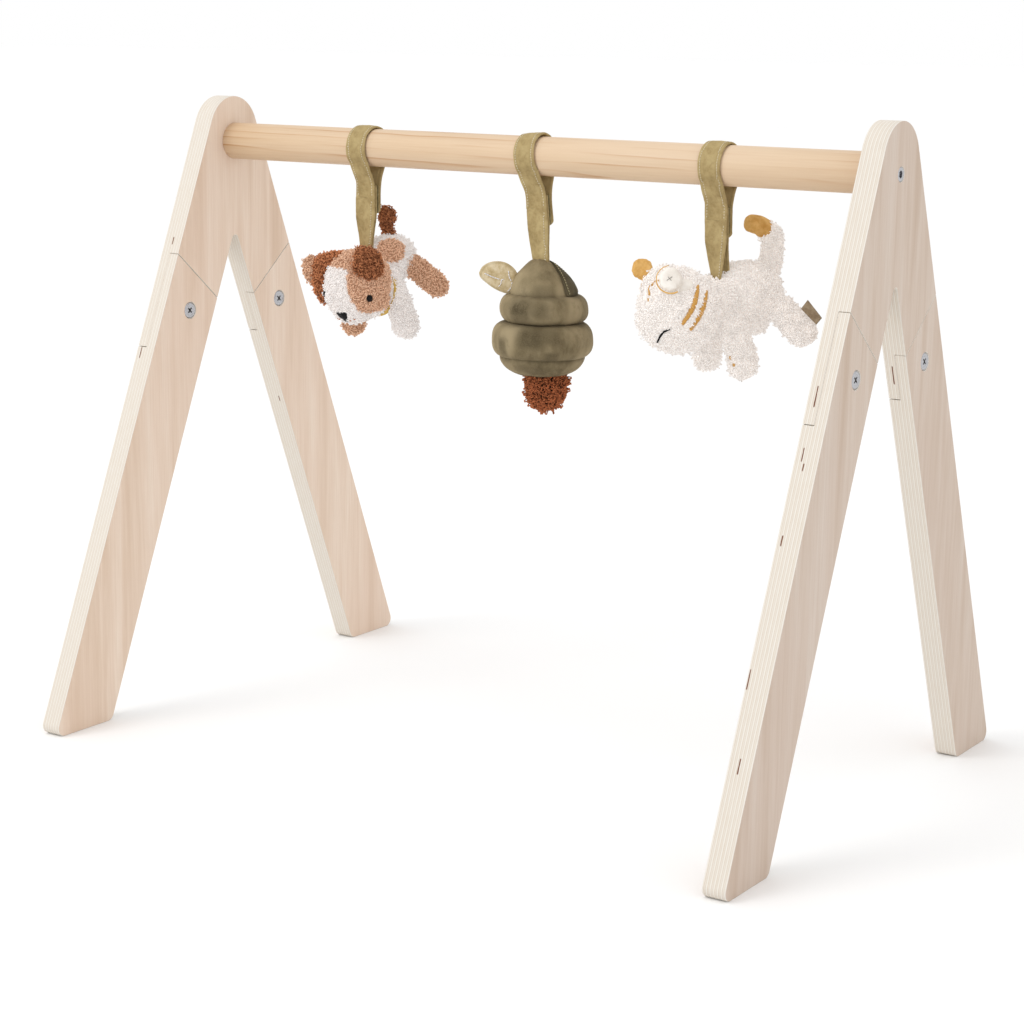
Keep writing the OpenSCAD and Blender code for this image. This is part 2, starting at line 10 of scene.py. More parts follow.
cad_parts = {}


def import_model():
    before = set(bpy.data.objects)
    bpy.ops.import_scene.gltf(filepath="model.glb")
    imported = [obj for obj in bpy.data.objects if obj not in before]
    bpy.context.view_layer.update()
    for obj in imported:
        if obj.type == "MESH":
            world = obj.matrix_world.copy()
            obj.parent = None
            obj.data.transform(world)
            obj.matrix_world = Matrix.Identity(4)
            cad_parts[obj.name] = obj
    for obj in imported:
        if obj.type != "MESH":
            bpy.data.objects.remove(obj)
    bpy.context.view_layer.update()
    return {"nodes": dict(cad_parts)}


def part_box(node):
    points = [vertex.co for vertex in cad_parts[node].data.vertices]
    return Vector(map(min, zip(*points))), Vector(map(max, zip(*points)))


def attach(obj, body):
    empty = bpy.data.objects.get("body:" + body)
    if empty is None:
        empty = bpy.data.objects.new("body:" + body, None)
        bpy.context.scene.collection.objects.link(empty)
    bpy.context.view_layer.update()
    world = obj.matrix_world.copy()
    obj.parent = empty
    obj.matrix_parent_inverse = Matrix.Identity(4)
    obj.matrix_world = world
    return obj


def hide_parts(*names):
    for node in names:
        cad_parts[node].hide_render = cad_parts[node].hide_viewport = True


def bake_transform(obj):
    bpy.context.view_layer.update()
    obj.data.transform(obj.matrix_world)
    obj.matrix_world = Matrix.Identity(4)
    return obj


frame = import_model()
NODES = frame["nodes"]
MM = 0.001


# ---- noise on arrays of points

def hash01(ix, iy, iz, seed):
    """A fixed random number from 0 to 1 for each whole-numbered place."""
    mask = 0xFFFFFFFF
    n = ((ix * 73856093) ^ (iy * 19349663) ^ (iz * 83492791) ^ (seed * 40503 + 977)) & mask
    n = ((n ^ (n >> 13)) * 1274126177) & mask
    n = ((n ^ (n >> 16)) * 1103515245) & mask
    n = n ^ (n >> 14)
    return (n & 0xFFFFFF) / float(0xFFFFFF)


def soft_noise(p, seed=0):
    """Smooth noise from -1 to 1 at points p, one bump per unit."""
    i = np.floor(p).astype(np.int64)
    f = p - i
    f = f * f * (3 - 2 * f)
    out = np.zeros(len(p))
    for dx in (0, 1):
        wx = f[:, 0] if dx else 1 - f[:, 0]
        for dy in (0, 1):
            wy = f[:, 1] if dy else 1 - f[:, 1]
            for dz in (0, 1):
                wz = f[:, 2] if dz else 1 - f[:, 2]
                out += wx * wy * wz * hash01(i[:, 0] + dx, i[:, 1] + dy, i[:, 2] + dz, seed)
    return out * 2 - 1


def step_up(x, lo, hi):
    t = np.clip((x - lo) / (hi - lo), 0, 1)
    return t * t * (3 - 2 * t)


def bell(x, width):
    """One at zero, falling smoothly to nothing about two widths away."""
    return np.exp(-(x / width) ** 2)


# ---- materials

class Look:
    """A node material with short ways to add and join nodes."""

    def __init__(self, name, roughness=0.8, **sockets):
        self.mat = bpy.data.materials.new(name)
        self.mat.use_nodes = True
        self.tree = self.mat.node_tree
        self.shader = self.tree.nodes["Principled BSDF"]
        self.shader.inputs["Roughness"].default_value = roughness
        for key, value in sockets.items():
            self.shader.inputs[key.replace("_", " ")].default_value = value

    def add(self, kind, **settings):
        node = self.tree.nodes.new("ShaderNode" + kind)
        for key, value in settings.items():
            setattr(node, key, value)
        return node

    def put(self, socket, value):
        if isinstance(value, bpy.types.NodeSocket):
            self.tree.links.new(value, socket)
        elif value is not None:
            socket.default_value = value

    def place(self, scale=(1, 1, 1), offset=(0, 0, 0), turn=(0, 0, 0), source="Object"):
        mapping = self.add("Mapping")
        mapping.inputs["Scale"].default_value = scale
        mapping.inputs["Location"].default_value = offset
        mapping.inputs["Rotation"].default_value = turn
        self.put(mapping.inputs["Vector"], self.add("TexCoord").outputs[source])
        return mapping.outputs[0]

    def axes(self, of):
        """The X, Y and Z of a vector."""
        parts = self.add("SeparateXYZ")
        self.put(parts.inputs[0], of)
        return parts.outputs

    def noise(self, where, scale, detail=3.0, rough=0.5, distortion=0.0):
        n = self.add("TexNoise")
        for key, v in (("Vector", where), ("Scale", scale), ("Detail", detail), ("Roughness", rough),
                       ("Distortion", distortion)):
            self.put(n.inputs[key], v)
        return n.outputs["Fac"]

    def ramp(self, fac, stops):
        n = self.add("ValToRGB")
        self.put(n.inputs[0], fac)
        bar = n.color_ramp.elements
        while len(bar) < len(stops):
            bar.new(0.5)
        for element, (at, colour) in zip(bar, stops):
            element.position = at
            element.color = (colour, colour, colour, 1) if isinstance(colour, (int, float)) else (*colour, 1)
        return n.outputs[0]

    def mix(self, fac, a, b, blend="MIX"):
        n = self.add("Mix", data_type="RGBA", blend_type=blend)
        self.put(n.inputs[0], fac)
        self.put(n.inputs[6], a if isinstance(a, bpy.types.NodeSocket) else (*a, 1))
        self.put(n.inputs[7], b if isinstance(b, bpy.types.NodeSocket) else (*b, 1))
        return n.outputs[2]

    def math(self, how, a, b=None):
        n = self.add("Math", operation=how)
        self.put(n.inputs[0], a)
        self.put(n.inputs[1], b)
        return n.outputs[0]

    def spread(self, value, lo, hi, to_lo=0.0, to_hi=1.0):
        n = self.add("MapRange")
        for key, v in (("Value", value), ("From Min", lo), ("From Max", hi), ("To Min", to_lo),
                       ("To Max", to_hi)):
            self.put(n.inputs[key], v)
        return n.outputs[0]

    def attribute(self, name):
        return self.add("Attribute", attribute_name=name).outputs["Fac"]

    def bump(self, height, depth, strength):
        n = self.add("Bump")
        n.inputs["Strength"].default_value = strength
        n.inputs["Distance"].default_value = depth
        self.put(n.inputs["Height"], height)
        return n.outputs[0]

    def finish(self, colour=None, roughness=None, normal=None):
        self.put(self.shader.inputs["Base Color"], colour)
        self.put(self.shader.inputs["Roughness"], roughness)
        self.put(self.shader.inputs["Normal"], normal)
        return self.mat


def srgb(r, g, b):
    """A colour from its 0 to 255 screen values."""
    return tuple((v / 255 / 12.92) if v <= 10 else ((v / 255 + 0.055) / 1.055) ** 2.4 for v in (r, g, b))


def times(colour, share):
    return tuple(min(1, share * c) for c in colour)


def plywood(name, lean_turn, tone, slits):
    """Veneer on the broad faces, ply lines on the edges. lean_turn turns the grain about X; tone is painted
    shade multiplied into the faces, darkest on the right frame as if less light fell on it. A slit is its
    share of the thickness from the inner face, its height and half length in mm; its dark inside is painted
    shade."""
    look = Look(name, 0.55, Specular_IOR_Level=0.35)
    grain_at = look.place(scale=(6, 60, 3.2), turn=(lean_turn, 0, 0))
    streak = look.noise(grain_at, 1.0, 5, 0.55, 0.6)
    fine = look.noise(look.place(scale=(40, 900, 22), turn=(lean_turn, 0, 0)), 1.0, 3, 0.6)
    cloud = look.noise(look.place(scale=(8, 9, 4)), 1.0, 2, 0.5)
    face = look.ramp(streak, [(0.28, srgb(214, 190, 168)), (0.5, srgb(228, 208, 190)),
                              (0.75, srgb(236, 221, 206))])
    face = look.mix(look.spread(fine, 0.35, 0.75, 0, 0.35), face, srgb(205, 178, 152))
    face = look.mix(look.spread(cloud, 0.4, 0.7, 0, 0.3), face, srgb(222, 196, 178))
    # the cut edges, ply by ply across the thickness
    across, _, height = look.axes(look.place())
    depth = look.math("SUBTRACT", look.math("ABSOLUTE", across), PLY_INNER)
    wobble = look.noise(look.place(scale=(30, 30, 14)), 1.0, 2)
    depth = look.math("ADD", depth, look.spread(wobble, 0, 1, -0.12 * MM, 0.12 * MM))
    ply = look.math("FRACT", look.math("DIVIDE", depth, 2 * PLY_T / PLIES))
    glue = srgb(190, 172, 150)
    lines = look.ramp(ply, [(0.0, srgb(208, 198, 184)), (0.10, srgb(222, 216, 207)),
                            (0.44, srgb(226, 221, 212)), (0.5, glue), (0.56, srgb(214, 204, 191)),
                            (0.92, srgb(220, 213, 203)), (1.0, glue)])
    edge_fine = look.noise(look.place(scale=(1400, 120, 120)), 1.0, 3)
    lines = look.mix(look.spread(edge_fine, 0.45, 0.8, 0, 0.3), lines, srgb(204, 187, 163))
    normal = look.axes(look.add("TexCoord").outputs["Normal"])
    # short gaps in the core plies, on the edges that face the front: the gaps are real, their dark brown is
    # painted shade for the shadow inside them
    front = look.spread(look.math("MULTIPLY", normal[1], -1), 0.2, 0.3)
    ragged = look.math("ADD", depth, look.spread(edge_fine, 0, 1, -0.5 * MM, 0.5 * MM))
    for share, z, half in slits:
        off_x = look.math("ABSOLUTE", look.math("SUBTRACT", ragged, share * PLY_T))
        off_z = look.math("ABSOLUTE", look.math("SUBTRACT", height, z * MM))
        wide = look.spread(off_x, 0.35 * MM, 0.6 * MM, 1, 0)
        long = look.spread(off_z, half * MM, (half + 0.8) * MM, 1, 0)
        gap = look.math("MULTIPLY", look.math("MULTIPLY", wide, long), front)
        lines = look.mix(gap, lines, srgb(112, 66, 42))
    broad = look.spread(look.math("ABSOLUTE", normal[0]), 0.8, 0.95)
    # painted shade: the side's tone darkens the veneer, the right frame most, as if it faced away from the
    # light
    face = look.mix(1.0, face, tone, "MULTIPLY")
    colour = look.mix(broad, lines, face)
    rough = look.spread(fine, 0.2, 0.8, 0.48, 0.66)
    return look.finish(colour, rough, look.bump(fine, 0.06 * MM, 0.5))


PINE_RING = 6.6  # mm from one growth ring to the next


def pine(name):
    """A turned rod cut from a board. Growth rings cross it at a slight angle and make long arches."""
    look = Look(name, 0.5, Specular_IOR_Level=0.35)
    along, across, height = look.axes(look.place())
    level = look.math("ADD", look.math("MULTIPLY", height, 0.93), look.math("MULTIPLY", across, 0.37))
    level = look.math("ADD", level, look.math("MULTIPLY", along, 0.014))
    waves = look.noise(look.place(scale=(3.4, 40, 40)), 1.0, 3, 0.55)
    level = look.math("ADD", level, look.spread(waves, 0.2, 0.8, -3.6 * MM, 3.6 * MM))
    ring = look.math("FRACT", look.math("DIVIDE", level, PINE_RING * MM))
    rings = look.ramp(ring, [(0.0, srgb(212, 186, 155)), (0.55, srgb(208, 181, 149)),
                             (0.8, srgb(202, 172, 138)), (0.94, srgb(176, 126, 78)),
                             (1.0, srgb(211, 184, 152))])
    fade = look.noise(look.place(scale=(7, 60, 60), offset=(2, 0, 0)), 1.0, 2)
    rings = look.mix(look.spread(fade, 0.4, 0.6), rings, srgb(211, 183, 150))
    pores = look.noise(look.place(scale=(18, 700, 700)), 1.0, 4, 0.6)
    colour = look.mix(look.spread(pores, 0.4, 0.8, 0, 0.4), rings, srgb(190, 154, 120))
    wide = look.noise(look.place(scale=(3, 18, 18)), 1.0, 2)
    colour = look.mix(look.spread(wide, 0.4, 0.7, 0, 0.45), colour, srgb(222, 200, 174))
    return look.finish(colour, look.spread(pores, 0.2, 0.8, 0.42, 0.6), look.bump(pores, 0.05 * MM, 0.5))


def metal(name, tint, roughness):
    """Plated steel with a faint mottle."""
    look = Look(name, roughness, Metallic=1.0)
    mottle = look.noise(look.place(), 900, 3, 0.6)
    colour = look.ramp(mottle, [(0.3, times(tint, 0.82)), (0.7, tint)])
    return look.finish(colour, look.spread(mottle, 0.3, 0.7, roughness - 0.06, roughness + 0.14),
                       look.bump(mottle, 0.02 * MM, 0.4))


def velvet(name, dark, mid, light, patch, coords="Object", sheen=0.3, contrast=1.0, tooth=0.2, detail=5,
           stroke=1.0):
    """Short nap that lies light or dark in soft blotches, with a fine woven tooth. stroke under 1 draws the
    blotches out up and down. The brushed attribute is where a hand has stroked the nap dark, and hollow is
    painted shade in a sewn crease, darkening it where light does not reach."""
    look = Look(name, 0.85, Sheen_Weight=sheen, Sheen_Roughness=0.45, Specular_IOR_Level=0.15,
                Sheen_Tint=(*light, 1))
    where = look.place(source=coords)
    strokes = look.place((1, 1, stroke), source=coords)
    blotch = look.noise(strokes, patch, detail, 0.6, 0.25)
    lay = look.noise(strokes, patch * 5.5, 4, 0.65, 0.2)
    lo, hi = 0.5 - 0.16 / contrast, 0.5 + 0.16 / contrast
    colour = look.ramp(blotch, [(lo, dark), (0.5, mid), (hi, light)])
    colour = look.mix(look.spread(lay, 0.42, 0.7, 0, 0.4), colour, light)
    colour = look.mix(look.spread(lay, 0.3, 0.46, 0.35, 0), colour, dark)
    ragged = look.math("MULTIPLY", look.attribute("brushed"), look.spread(lay, 0.3, 0.6, 0.55, 1.0))
    colour = look.mix(ragged, colour, times(dark, 0.66))
    nap = look.noise(where, 1900 if coords == "Object" else 900, 2, 0.7)
    colour = look.mix(look.spread(nap, 0.4, 0.75, 0, tooth), colour, light)
    # painted shade: the hollow attribute darkens the velvet in sewn creases
    colour = look.mix(look.spread(look.attribute("hollow"), 0, 1, 0, 0.75), colour, times(dark, 0.35))
    return look.finish(colour, look.spread(lay, 0.3, 0.7, 0.78, 0.95), look.bump(nap, 0.25 * MM, 0.55))


def pile(name, root_shade, lit_tip, second_root_shade=None, second_lit_tip=None, painted_glow=0.16, deep=0.15):
    """Looped pile, coloured by the pile attribute from ground, painted shade between the loops, to tip,
    painted light on the loop tops; the tint attribute swaps in the second pair. glow is painted light: the
    yarn emits its own colour so the shaded loops read brighter; deep is where the painted shade between loops
    ends."""
    look = Look(name, 0.95, Sheen_Weight=0.15, Sheen_Roughness=0.6, Specular_IOR_Level=0.1,
                Sheen_Tint=(*lit_tip, 1))
    where = look.place()
    top = look.spread(look.attribute("pile"), deep, 0.85)
    colour = look.mix(top, root_shade, lit_tip)
    if second_root_shade:
        colour = look.mix(look.attribute("tint"), colour, look.mix(top, second_root_shade, second_lit_tip))
    yarn = look.noise(where, 1300, 3, 0.65)
    fibre = look.ramp(yarn, [(0.32, 0.84), (0.62, 1.0)])
    colour = look.mix(1.0, colour, fibre, "MULTIPLY")
    tufts = look.noise(where, 210, 2, 0.5)
    shade = look.ramp(tufts, [(0.3, 0.9), (0.65, 1.0)])
    colour = look.mix(1.0, colour, shade, "MULTIPLY")
    # painted light: the yarn glows with its own colour, to brighten loops that the light does not reach
    look.put(look.shader.inputs["Emission Color"], colour)
    look.shader.inputs["Emission Strength"].default_value = painted_glow
    return look.finish(colour, None, look.bump(yarn, 0.3 * MM, 0.6))


def thread(name, colour, shine):
    """Embroidery thread: glossy strands with tiny light and dark twists."""
    look = Look(name, shine, Specular_IOR_Level=0.5 if sum(colour) > 0.1 else 0.15)
    strands = look.noise(look.place(), 2600, 2, 0.6)
    tone = look.ramp(strands, [(0.3, times(colour, 0.62)), (0.6, colour), (0.8, times(colour, 1.25))])
    return look.finish(tone, None, look.bump(strands, 0.12 * MM, 0.6))


# ---- meshes

def unit(v):
    """Vectors brought to length one."""
    return v / np.maximum(np.linalg.norm(v, axis=-1, keepdims=True), 1e-12)


def link(name, data):
    ob = bpy.data.objects.new(name, data)
    bpy.context.scene.collection.objects.link(ob)
    return ob


def new_mesh(name, verts, faces, mat):
    mesh = bpy.data.meshes.new(name)
    mesh.from_pydata([tuple(v) for v in verts], [], faces)
    mesh.update()
    mesh.polygons.foreach_set("use_smooth", [True] * len(mesh.polygons))
    mesh.materials.append(mat)
    return link(name, mesh)


def grid_faces(rows, count, base=0, turned=False, wrap=True):
    """Four-sided faces between rows of count points each; wrap joins each row's end to its start."""
    faces = []
    for k in range(rows - 1):
        for j in range(count if wrap else count - 1):
            a, b = base + k * count + j, base + k * count + (j + 1) % count
            faces.append((a, a + count, b + count, b) if turned else (a, b, b + count, a + count))
    return faces


def tidy_mesh(ob, gap):
    """Joins points closer than the gap and turns every face outward."""
    bm = bmesh.new()
    bm.from_mesh(ob.data)
    bmesh.ops.remove_doubles(bm, verts=bm.verts, dist=gap)
    bmesh.ops.recalc_face_normals(bm, faces=bm.faces)
    bm.to_mesh(ob.data)
    bm.free()


def points_of(ob, what="co"):
    values = np.zeros(len(ob.data.vertices) * 3)
    ob.data.vertices.foreach_get(what, values)
    return values.reshape(-1, 3)


def move_points(ob, co):
    ob.data.vertices.foreach_set("co", np.ascontiguousarray(co, dtype=np.float32).ravel())
    ob.data.update()


def normals_of(ob):
    return points_of(ob, "normal")


def store(ob, name, values):
    attribute = ob.data.attributes.new(name, "FLOAT", "POINT")
    attribute.data.foreach_set("value", np.ascontiguousarray(values, dtype=np.float32))


def apply_modifiers(ob):
    dg = bpy.context.evaluated_depsgraph_get()
    mesh = bpy.data.meshes.new_from_object(ob.evaluated_get(dg))
    old = ob.data
    ob.modifiers.clear()
    ob.data = mesh
    bpy.data.meshes.remove(old)
    mesh.polygons.foreach_set("use_smooth", [True] * len(mesh.polygons))


def limb(a, b, ra, rb=None, bend=(0, 0, 0), steps=14):
    """Balls along a bent line, their radius going from ra to rb: one limb of a stuffed toy."""
    a, b, bend = np.array(a, float), np.array(b, float), np.array(bend, float)
    rb = ra if rb is None else rb
    return [(a + (b - a) * t + bend * 4 * t * (1 - t), ra + (rb - ra) * t) for t in np.linspace(0, 1, steps)]


def fuse(name, balls, voxel, place, smooth, discs):
    """One closed skin round all the balls, given in a toy's own mm. A disc is a flattened ball's matrix."""
    bm = bmesh.new()
    for centre, radius in balls:
        at = Matrix.Translation(Vector(centre)) @ Matrix.Scale(radius, 4)
        bmesh.ops.create_icosphere(bm, subdivisions=3, radius=1, matrix=at)
    for m in discs:
        bmesh.ops.create_icosphere(bm, subdivisions=4, radius=1, matrix=m)
    mesh = bpy.data.meshes.new(name)
    bm.to_mesh(mesh)
    bm.free()
    mesh.transform(Matrix.Scale(MM, 4))
    mesh.transform(place)
    ob = link(name, mesh)
    m = ob.modifiers.new("skin", "REMESH")
    m.mode, m.voxel_size = "VOXEL", voxel * MM
    m = ob.modifiers.new("relax", "SMOOTH")
    m.factor, m.iterations = 0.6, smooth
    apply_modifiers(ob)
    return ob


def disc(centre, radii, turn):
    """A flattened ball: its middle, half sizes and turn in degrees."""
    m = Euler([math.radians(a) for a in turn]).to_matrix().to_4x4()
    return Matrix.Translation(Vector(centre)) @ m @ Matrix.Diagonal((*radii, 1))


CLOTH_SCALE = 20.0  # the solver works on a skin this many times the real size
STUFFING = {"use_pressure": True, "uniform_pressure_force": 3.0, "tension_stiffness": 8.0,
            "compression_stiffness": 8.0, "bending_stiffness": 0.3, "quality": 4, "mass": 0.3}
STUFFING_FRAMES = 12


def puff(ob, cap):
    """Fills a skin with stuffing: Blender's cloth under pressure. No point moves more than cap, in mm."""
    scene = bpy.context.scene
    rest = points_of(ob)
    middle = rest.mean(0)
    move_points(ob, (rest - middle) * CLOTH_SCALE)
    cloth = ob.modifiers.new("stuffing", "CLOTH")
    for key, value in STUFFING.items():
        setattr(cloth.settings, key, value)
    cloth.settings.effector_weights.gravity = 0
    cloth.collision_settings.use_collision = False
    cloth.point_cache.frame_start, cloth.point_cache.frame_end = 1, STUFFING_FRAMES
    for f in range(1, STUFFING_FRAMES + 1):
        scene.frame_set(f)
    dg = bpy.context.evaluated_depsgraph_get()
    got = ob.evaluated_get(dg).to_mesh()
    co = np.zeros(len(got.vertices) * 3)
    got.vertices.foreach_get("co", co)
    ob.evaluated_get(dg).to_mesh_clear()
    ob.modifiers.clear()
    scene.frame_set(1)
    step = co.reshape(-1, 3) / CLOTH_SCALE + middle - rest
    far = np.linalg.norm(step, axis=1, keepdims=True)
    move_points(ob, rest + step * np.minimum(1, cap * MM / np.maximum(far, 1e-9)))


def refine(ob):
    m = ob.modifiers.new("fine", "SUBSURF")
    m.levels = 1
    apply_modifiers(ob)


def scatter(ob, density, seed):
    """Even random places on a mesh, so many per square millimetre, with their normals."""
    mesh = ob.data
    mesh.calc_loop_triangles()
    tri = np.zeros(len(mesh.loop_triangles) * 3, np.int64)
    mesh.loop_triangles.foreach_get("vertices", tri)
    tri = tri.reshape(-1, 3)
    co, no = points_of(ob), normals_of(ob)
    a, b, c = co[tri[:, 0]], co[tri[:, 1]], co[tri[:, 2]]
    area = np.linalg.norm(np.cross(b - a, c - a), axis=1) / 2
    rng = np.random.RandomState(seed)
    count = int(area.sum() / MM ** 2 * density)
    along = np.cumsum(area) / area.sum()
    pick = np.minimum(np.searchsorted(along, (np.arange(count) + rng.rand(count)) / count), len(tri) - 1)
    u, v = rng.rand(count), rng.rand(count)
    flip = u + v > 1
    u[flip], v[flip] = 1 - u[flip], 1 - v[flip]
    w = (1 - u - v)[:, None]
    p = w * a[pick] + u[:, None] * b[pick] + v[:, None] * c[pick]
    n = w * no[tri[pick, 0]] + u[:, None] * no[tri[pick, 1]] + v[:, None] * no[tri[pick, 2]]
    return p, unit(n), rng


YARN_SEGS, YARN_SIDES = 5, 3


def yarn(ob, density, height, width, thick, seed, calm, calm_r, curls):
    """Sews yarn on a skin: round loops, or with curls loose curling ends. Within calm_r mm of the embroidery
    points in calm it is pressed flat. thick is the yarn's radius. The pile value is low at the skin and high
    at the top of a loop, painting shade at the roots and light on the tops."""
    segs, sides = YARN_SEGS, YARN_SIDES
    p, n, rng = scatter(ob, density, seed)
    count = len(p)
    turn = rng.rand(count) * 2 * math.pi
    ref = np.where(np.abs(n[:, 2:3]) < 0.8, [[0.0, 0.0, 1.0]], [[1.0, 0.0, 0.0]])
    e = unit(np.cross(n, ref))
    t = e * np.cos(turn)[:, None] + np.cross(n, e) * np.sin(turn)[:, None]
    b = np.cross(n, t)
    tall = height * MM * (0.5 + 0.8 * rng.rand(count))
    tall *= np.where(rng.rand(count) < 0.15, 1.2 if curls else 1.9, 1.0)
    wide = width * MM * (0.7 + 0.6 * rng.rand(count))
    if calm:
        near = np.full(count, 9.0)
        for c in calm:
            near = np.minimum(near, np.linalg.norm(p - c, axis=1))
        free = step_up(near, 0.35 * calm_r * MM, calm_r * MM)
        tall *= 0.06 + 0.94 * free
    u = np.linspace(0, 1, segs + 1)
    arch = np.sin(math.pi * u)
    if curls:
        lean = 0.5 * rng.rand(count) + 0.1
        bend = 1.2 + 1.4 * rng.rand(count)
        angle = lean[:, None] + bend[:, None] * u[None, :]
        step = (tall / segs)[:, None]
        rise = np.cumsum(np.cos(angle) * step, 1) - 0.5 * MM
        side = np.cumsum(np.sin(angle) * step, 1)
        sway = wide[:, None] * 0.35 * np.sin(2 * math.pi * u)[None, :]
        r = thick * MM * np.r_[np.linspace(1.0, 0.85, segs), 0.12]
        # painted shade and light: each curl is darker towards the skin and lighter towards its end
        shade = (0.1 + 0.9 * u)[None, :] * (0.7 + 0.3 * rng.rand(count))[:, None]
    else:
        rise = tall[:, None] * arch[None, :] - 0.3 * MM
        side = wide[:, None] * (u - 0.5)[None, :]
        sway = wide[:, None] * 0.28 * np.sin(2 * math.pi * u + 0.6)[None, :]
        r = thick * MM * (0.7 + 0.3 * arch)
        # painted shade and light: each loop is darker at its feet and lighter at its top
        shade = (0.25 + 0.75 * arch)[None, :] * (0.75 + 0.25 * rng.rand(count))[:, None]
    path = p[:, None, :] + n[:, None, :] * rise[..., None] + t[:, None, :] * side[..., None]
    path += b[:, None, :] * sway[..., None]
    run = unit(np.gradient(path, axis=1))
    e1 = unit(np.cross(run, np.broadcast_to(b[:, None, :], run.shape)))
    e2 = np.cross(run, e1)
    rings = np.stack([path + r[None, :, None] * (math.cos(a) * e1 + math.sin(a) * e2)
                      for a in np.arange(sides) * 2 * math.pi / sides], 2)
    verts = rings.reshape(-1, 3)
    i = np.arange(count)[:, None, None] * (segs + 1) * sides
    k = np.arange(segs)[None, :, None] * sides
    j = np.arange(sides)[None, None, :]
    j2 = (j + 1) % sides
    quads = np.stack([i + k + j, i + k + j2, i + k + sides + j2, i + k + sides + j], -1).reshape(-1, 4)
    pile_shade = np.repeat(shade.reshape(-1), sides)
    root = np.repeat(p, (segs + 1) * sides, axis=0)
    return verts, quads, pile_shade, root


def add_quads(ob, verts, quads):
    """The mesh again, all four-sided faces, with more of them added."""
    old = ob.data
    co = points_of(ob)
    own = np.zeros(len(old.loops), np.int64)
    old.loops.foreach_get("vertex_index", own)
    totals = np.zeros(len(old.polygons), np.int64)
    old.polygons.foreach_get("loop_total", totals)
    mesh = bpy.data.meshes.new(old.name)
    every = np.vstack([co, verts])
    loops = np.r_[own, (quads + len(co)).reshape(-1)]
    sizes = np.r_[totals, np.full(len(quads), 4)]
    mesh.vertices.add(len(every))
    mesh.vertices.foreach_set("co", every.astype(np.float32).ravel())
    mesh.loops.add(len(loops))
    mesh.loops.foreach_set("vertex_index", loops.astype(np.int32))
    mesh.polygons.add(len(sizes))
    mesh.polygons.foreach_set("loop_start", np.r_[0, np.cumsum(sizes)[:-1]].astype(np.int32))
    mesh.polygons.foreach_set("use_smooth", np.ones(len(sizes), bool))
    mesh.update(calc_edges=True)
    for m in old.materials:
        mesh.materials.append(m)
    ob.data = mesh
    bpy.data.meshes.remove(old)


def tube(points, radius, sides):
    """Vertices and faces of a round tube along points; radius is one number or one per point."""
    pts = np.array(points, float)
    r = np.full(len(pts), radius) if np.isscalar(radius) else np.array(radius, float)
    verts = []
    tangent = unit(np.gradient(pts, axis=0))
    side = np.cross(tangent[0], (0.3, 0.5, 0.8))
    for k in range(len(pts)):
        side = unit(side - tangent[k] * (side @ tangent[k]))
        up = np.cross(tangent[k], side)
        for j in range(sides):
            a = 2 * math.pi * j / sides
            verts.append(pts[k] + r[k] * (math.cos(a) * side + math.sin(a) * up))
    ends = [tuple(reversed(range(sides))), tuple(range((len(pts) - 1) * sides, len(pts) * sides))]
    return verts, grid_faces(len(pts), sides) + ends


def stitch(at, normal, across, half, top, drop, radii, sides=6):
    """One short thread over a spot: half its length, its top's height and the drop to its ends, in mm."""
    run = [at + across * half * MM * u + normal * MM * (top - drop * u * u)
           for u in np.linspace(-1, 1, len(radii))]
    return tube(run, [r * MM for r in radii], sides)


def join_parts(name, parts, mat):
    verts, faces = [], []
    for v, f in parts:
        base = len(verts)
        verts += list(v)
        faces += [tuple(i + base for i in face) for face in f]
    return new_mesh(name, verts, faces, mat)


def surface_of(ob):
    return BVHTree.FromObject(ob, bpy.context.evaluated_depsgraph_get())


def resample(points, step):
    """Points an even step apart along a line, and each one's share of the way."""
    pts = np.array(points, float)
    along = np.r_[0, np.cumsum(np.linalg.norm(np.diff(pts, axis=0), axis=1))]
    n = max(2, int(along[-1] / step) + 1)
    at = np.linspace(0, along[-1], n)
    return np.stack([np.interp(at, along, pts[:, k]) for k in range(3)], 1), at / along[-1]


def curve_through(points, count=40):
    """A smooth line through the given points."""
    p = np.array(points, float)
    if len(p) < 3:
        return resample(p, np.linalg.norm(p[-1] - p[0]) / count)[0]
    ends = np.vstack([2 * p[0] - p[1], p, 2 * p[-1] - p[-2]])
    out = []
    for k in range(1, len(ends) - 2):
        a, b, c, d = ends[k - 1:k + 3]
        for t in np.linspace(0, 1, count // (len(p) - 1) + 1, endpoint=False):
            out.append(0.5 * ((2 * b) + (c - a) * t + (2 * a - 5 * b + 4 * c - d) * t * t
                              + (3 * b - a - 3 * c + d) * t ** 3))
    out.append(p[-1])
    return np.array(out)


SATIN_STEP, RUN_STEP = 0.42, 0.3  # mm from one satin thread to the next, and along a running stitch


def satin(name, tree, lines, mat, seed, lift):
    """Satin stitches on a surface: short threads laid across each line. A line is (points, widths in mm)."""
    parts = []
    for points, widths in lines:
        pts, share = resample(curve_through(points), SATIN_STEP * MM)
        width = np.interp(share, np.linspace(0, 1, len(widths)), widths) * MM
        along = np.gradient(pts, axis=0)
        for k in range(len(pts)):
            at, normal, _, _ = tree.find_nearest(Vector(pts[k]))
            n, t = np.array(normal), along[k] / np.linalg.norm(along[k])
            across = unit(unit(np.cross(n, t)) + 0.25 * t)
            jit = hash01(np.array([k]), np.array([7]), np.array([3]), seed)[0]
            half = width[k] * (0.5 + 0.06 * (jit - 0.5))
            row = [np.array(at) + n * (lift * MM * (1 - 0.9 * u * u) + 0.12 * MM * jit) + across * half * u
                   for u in (-1, -0.6, 0, 0.6, 1)]
            parts.append(tube(row, [0.1 * MM, 0.26 * MM, 0.3 * MM, 0.26 * MM, 0.1 * MM], 6))
    return join_parts(name, parts, mat)


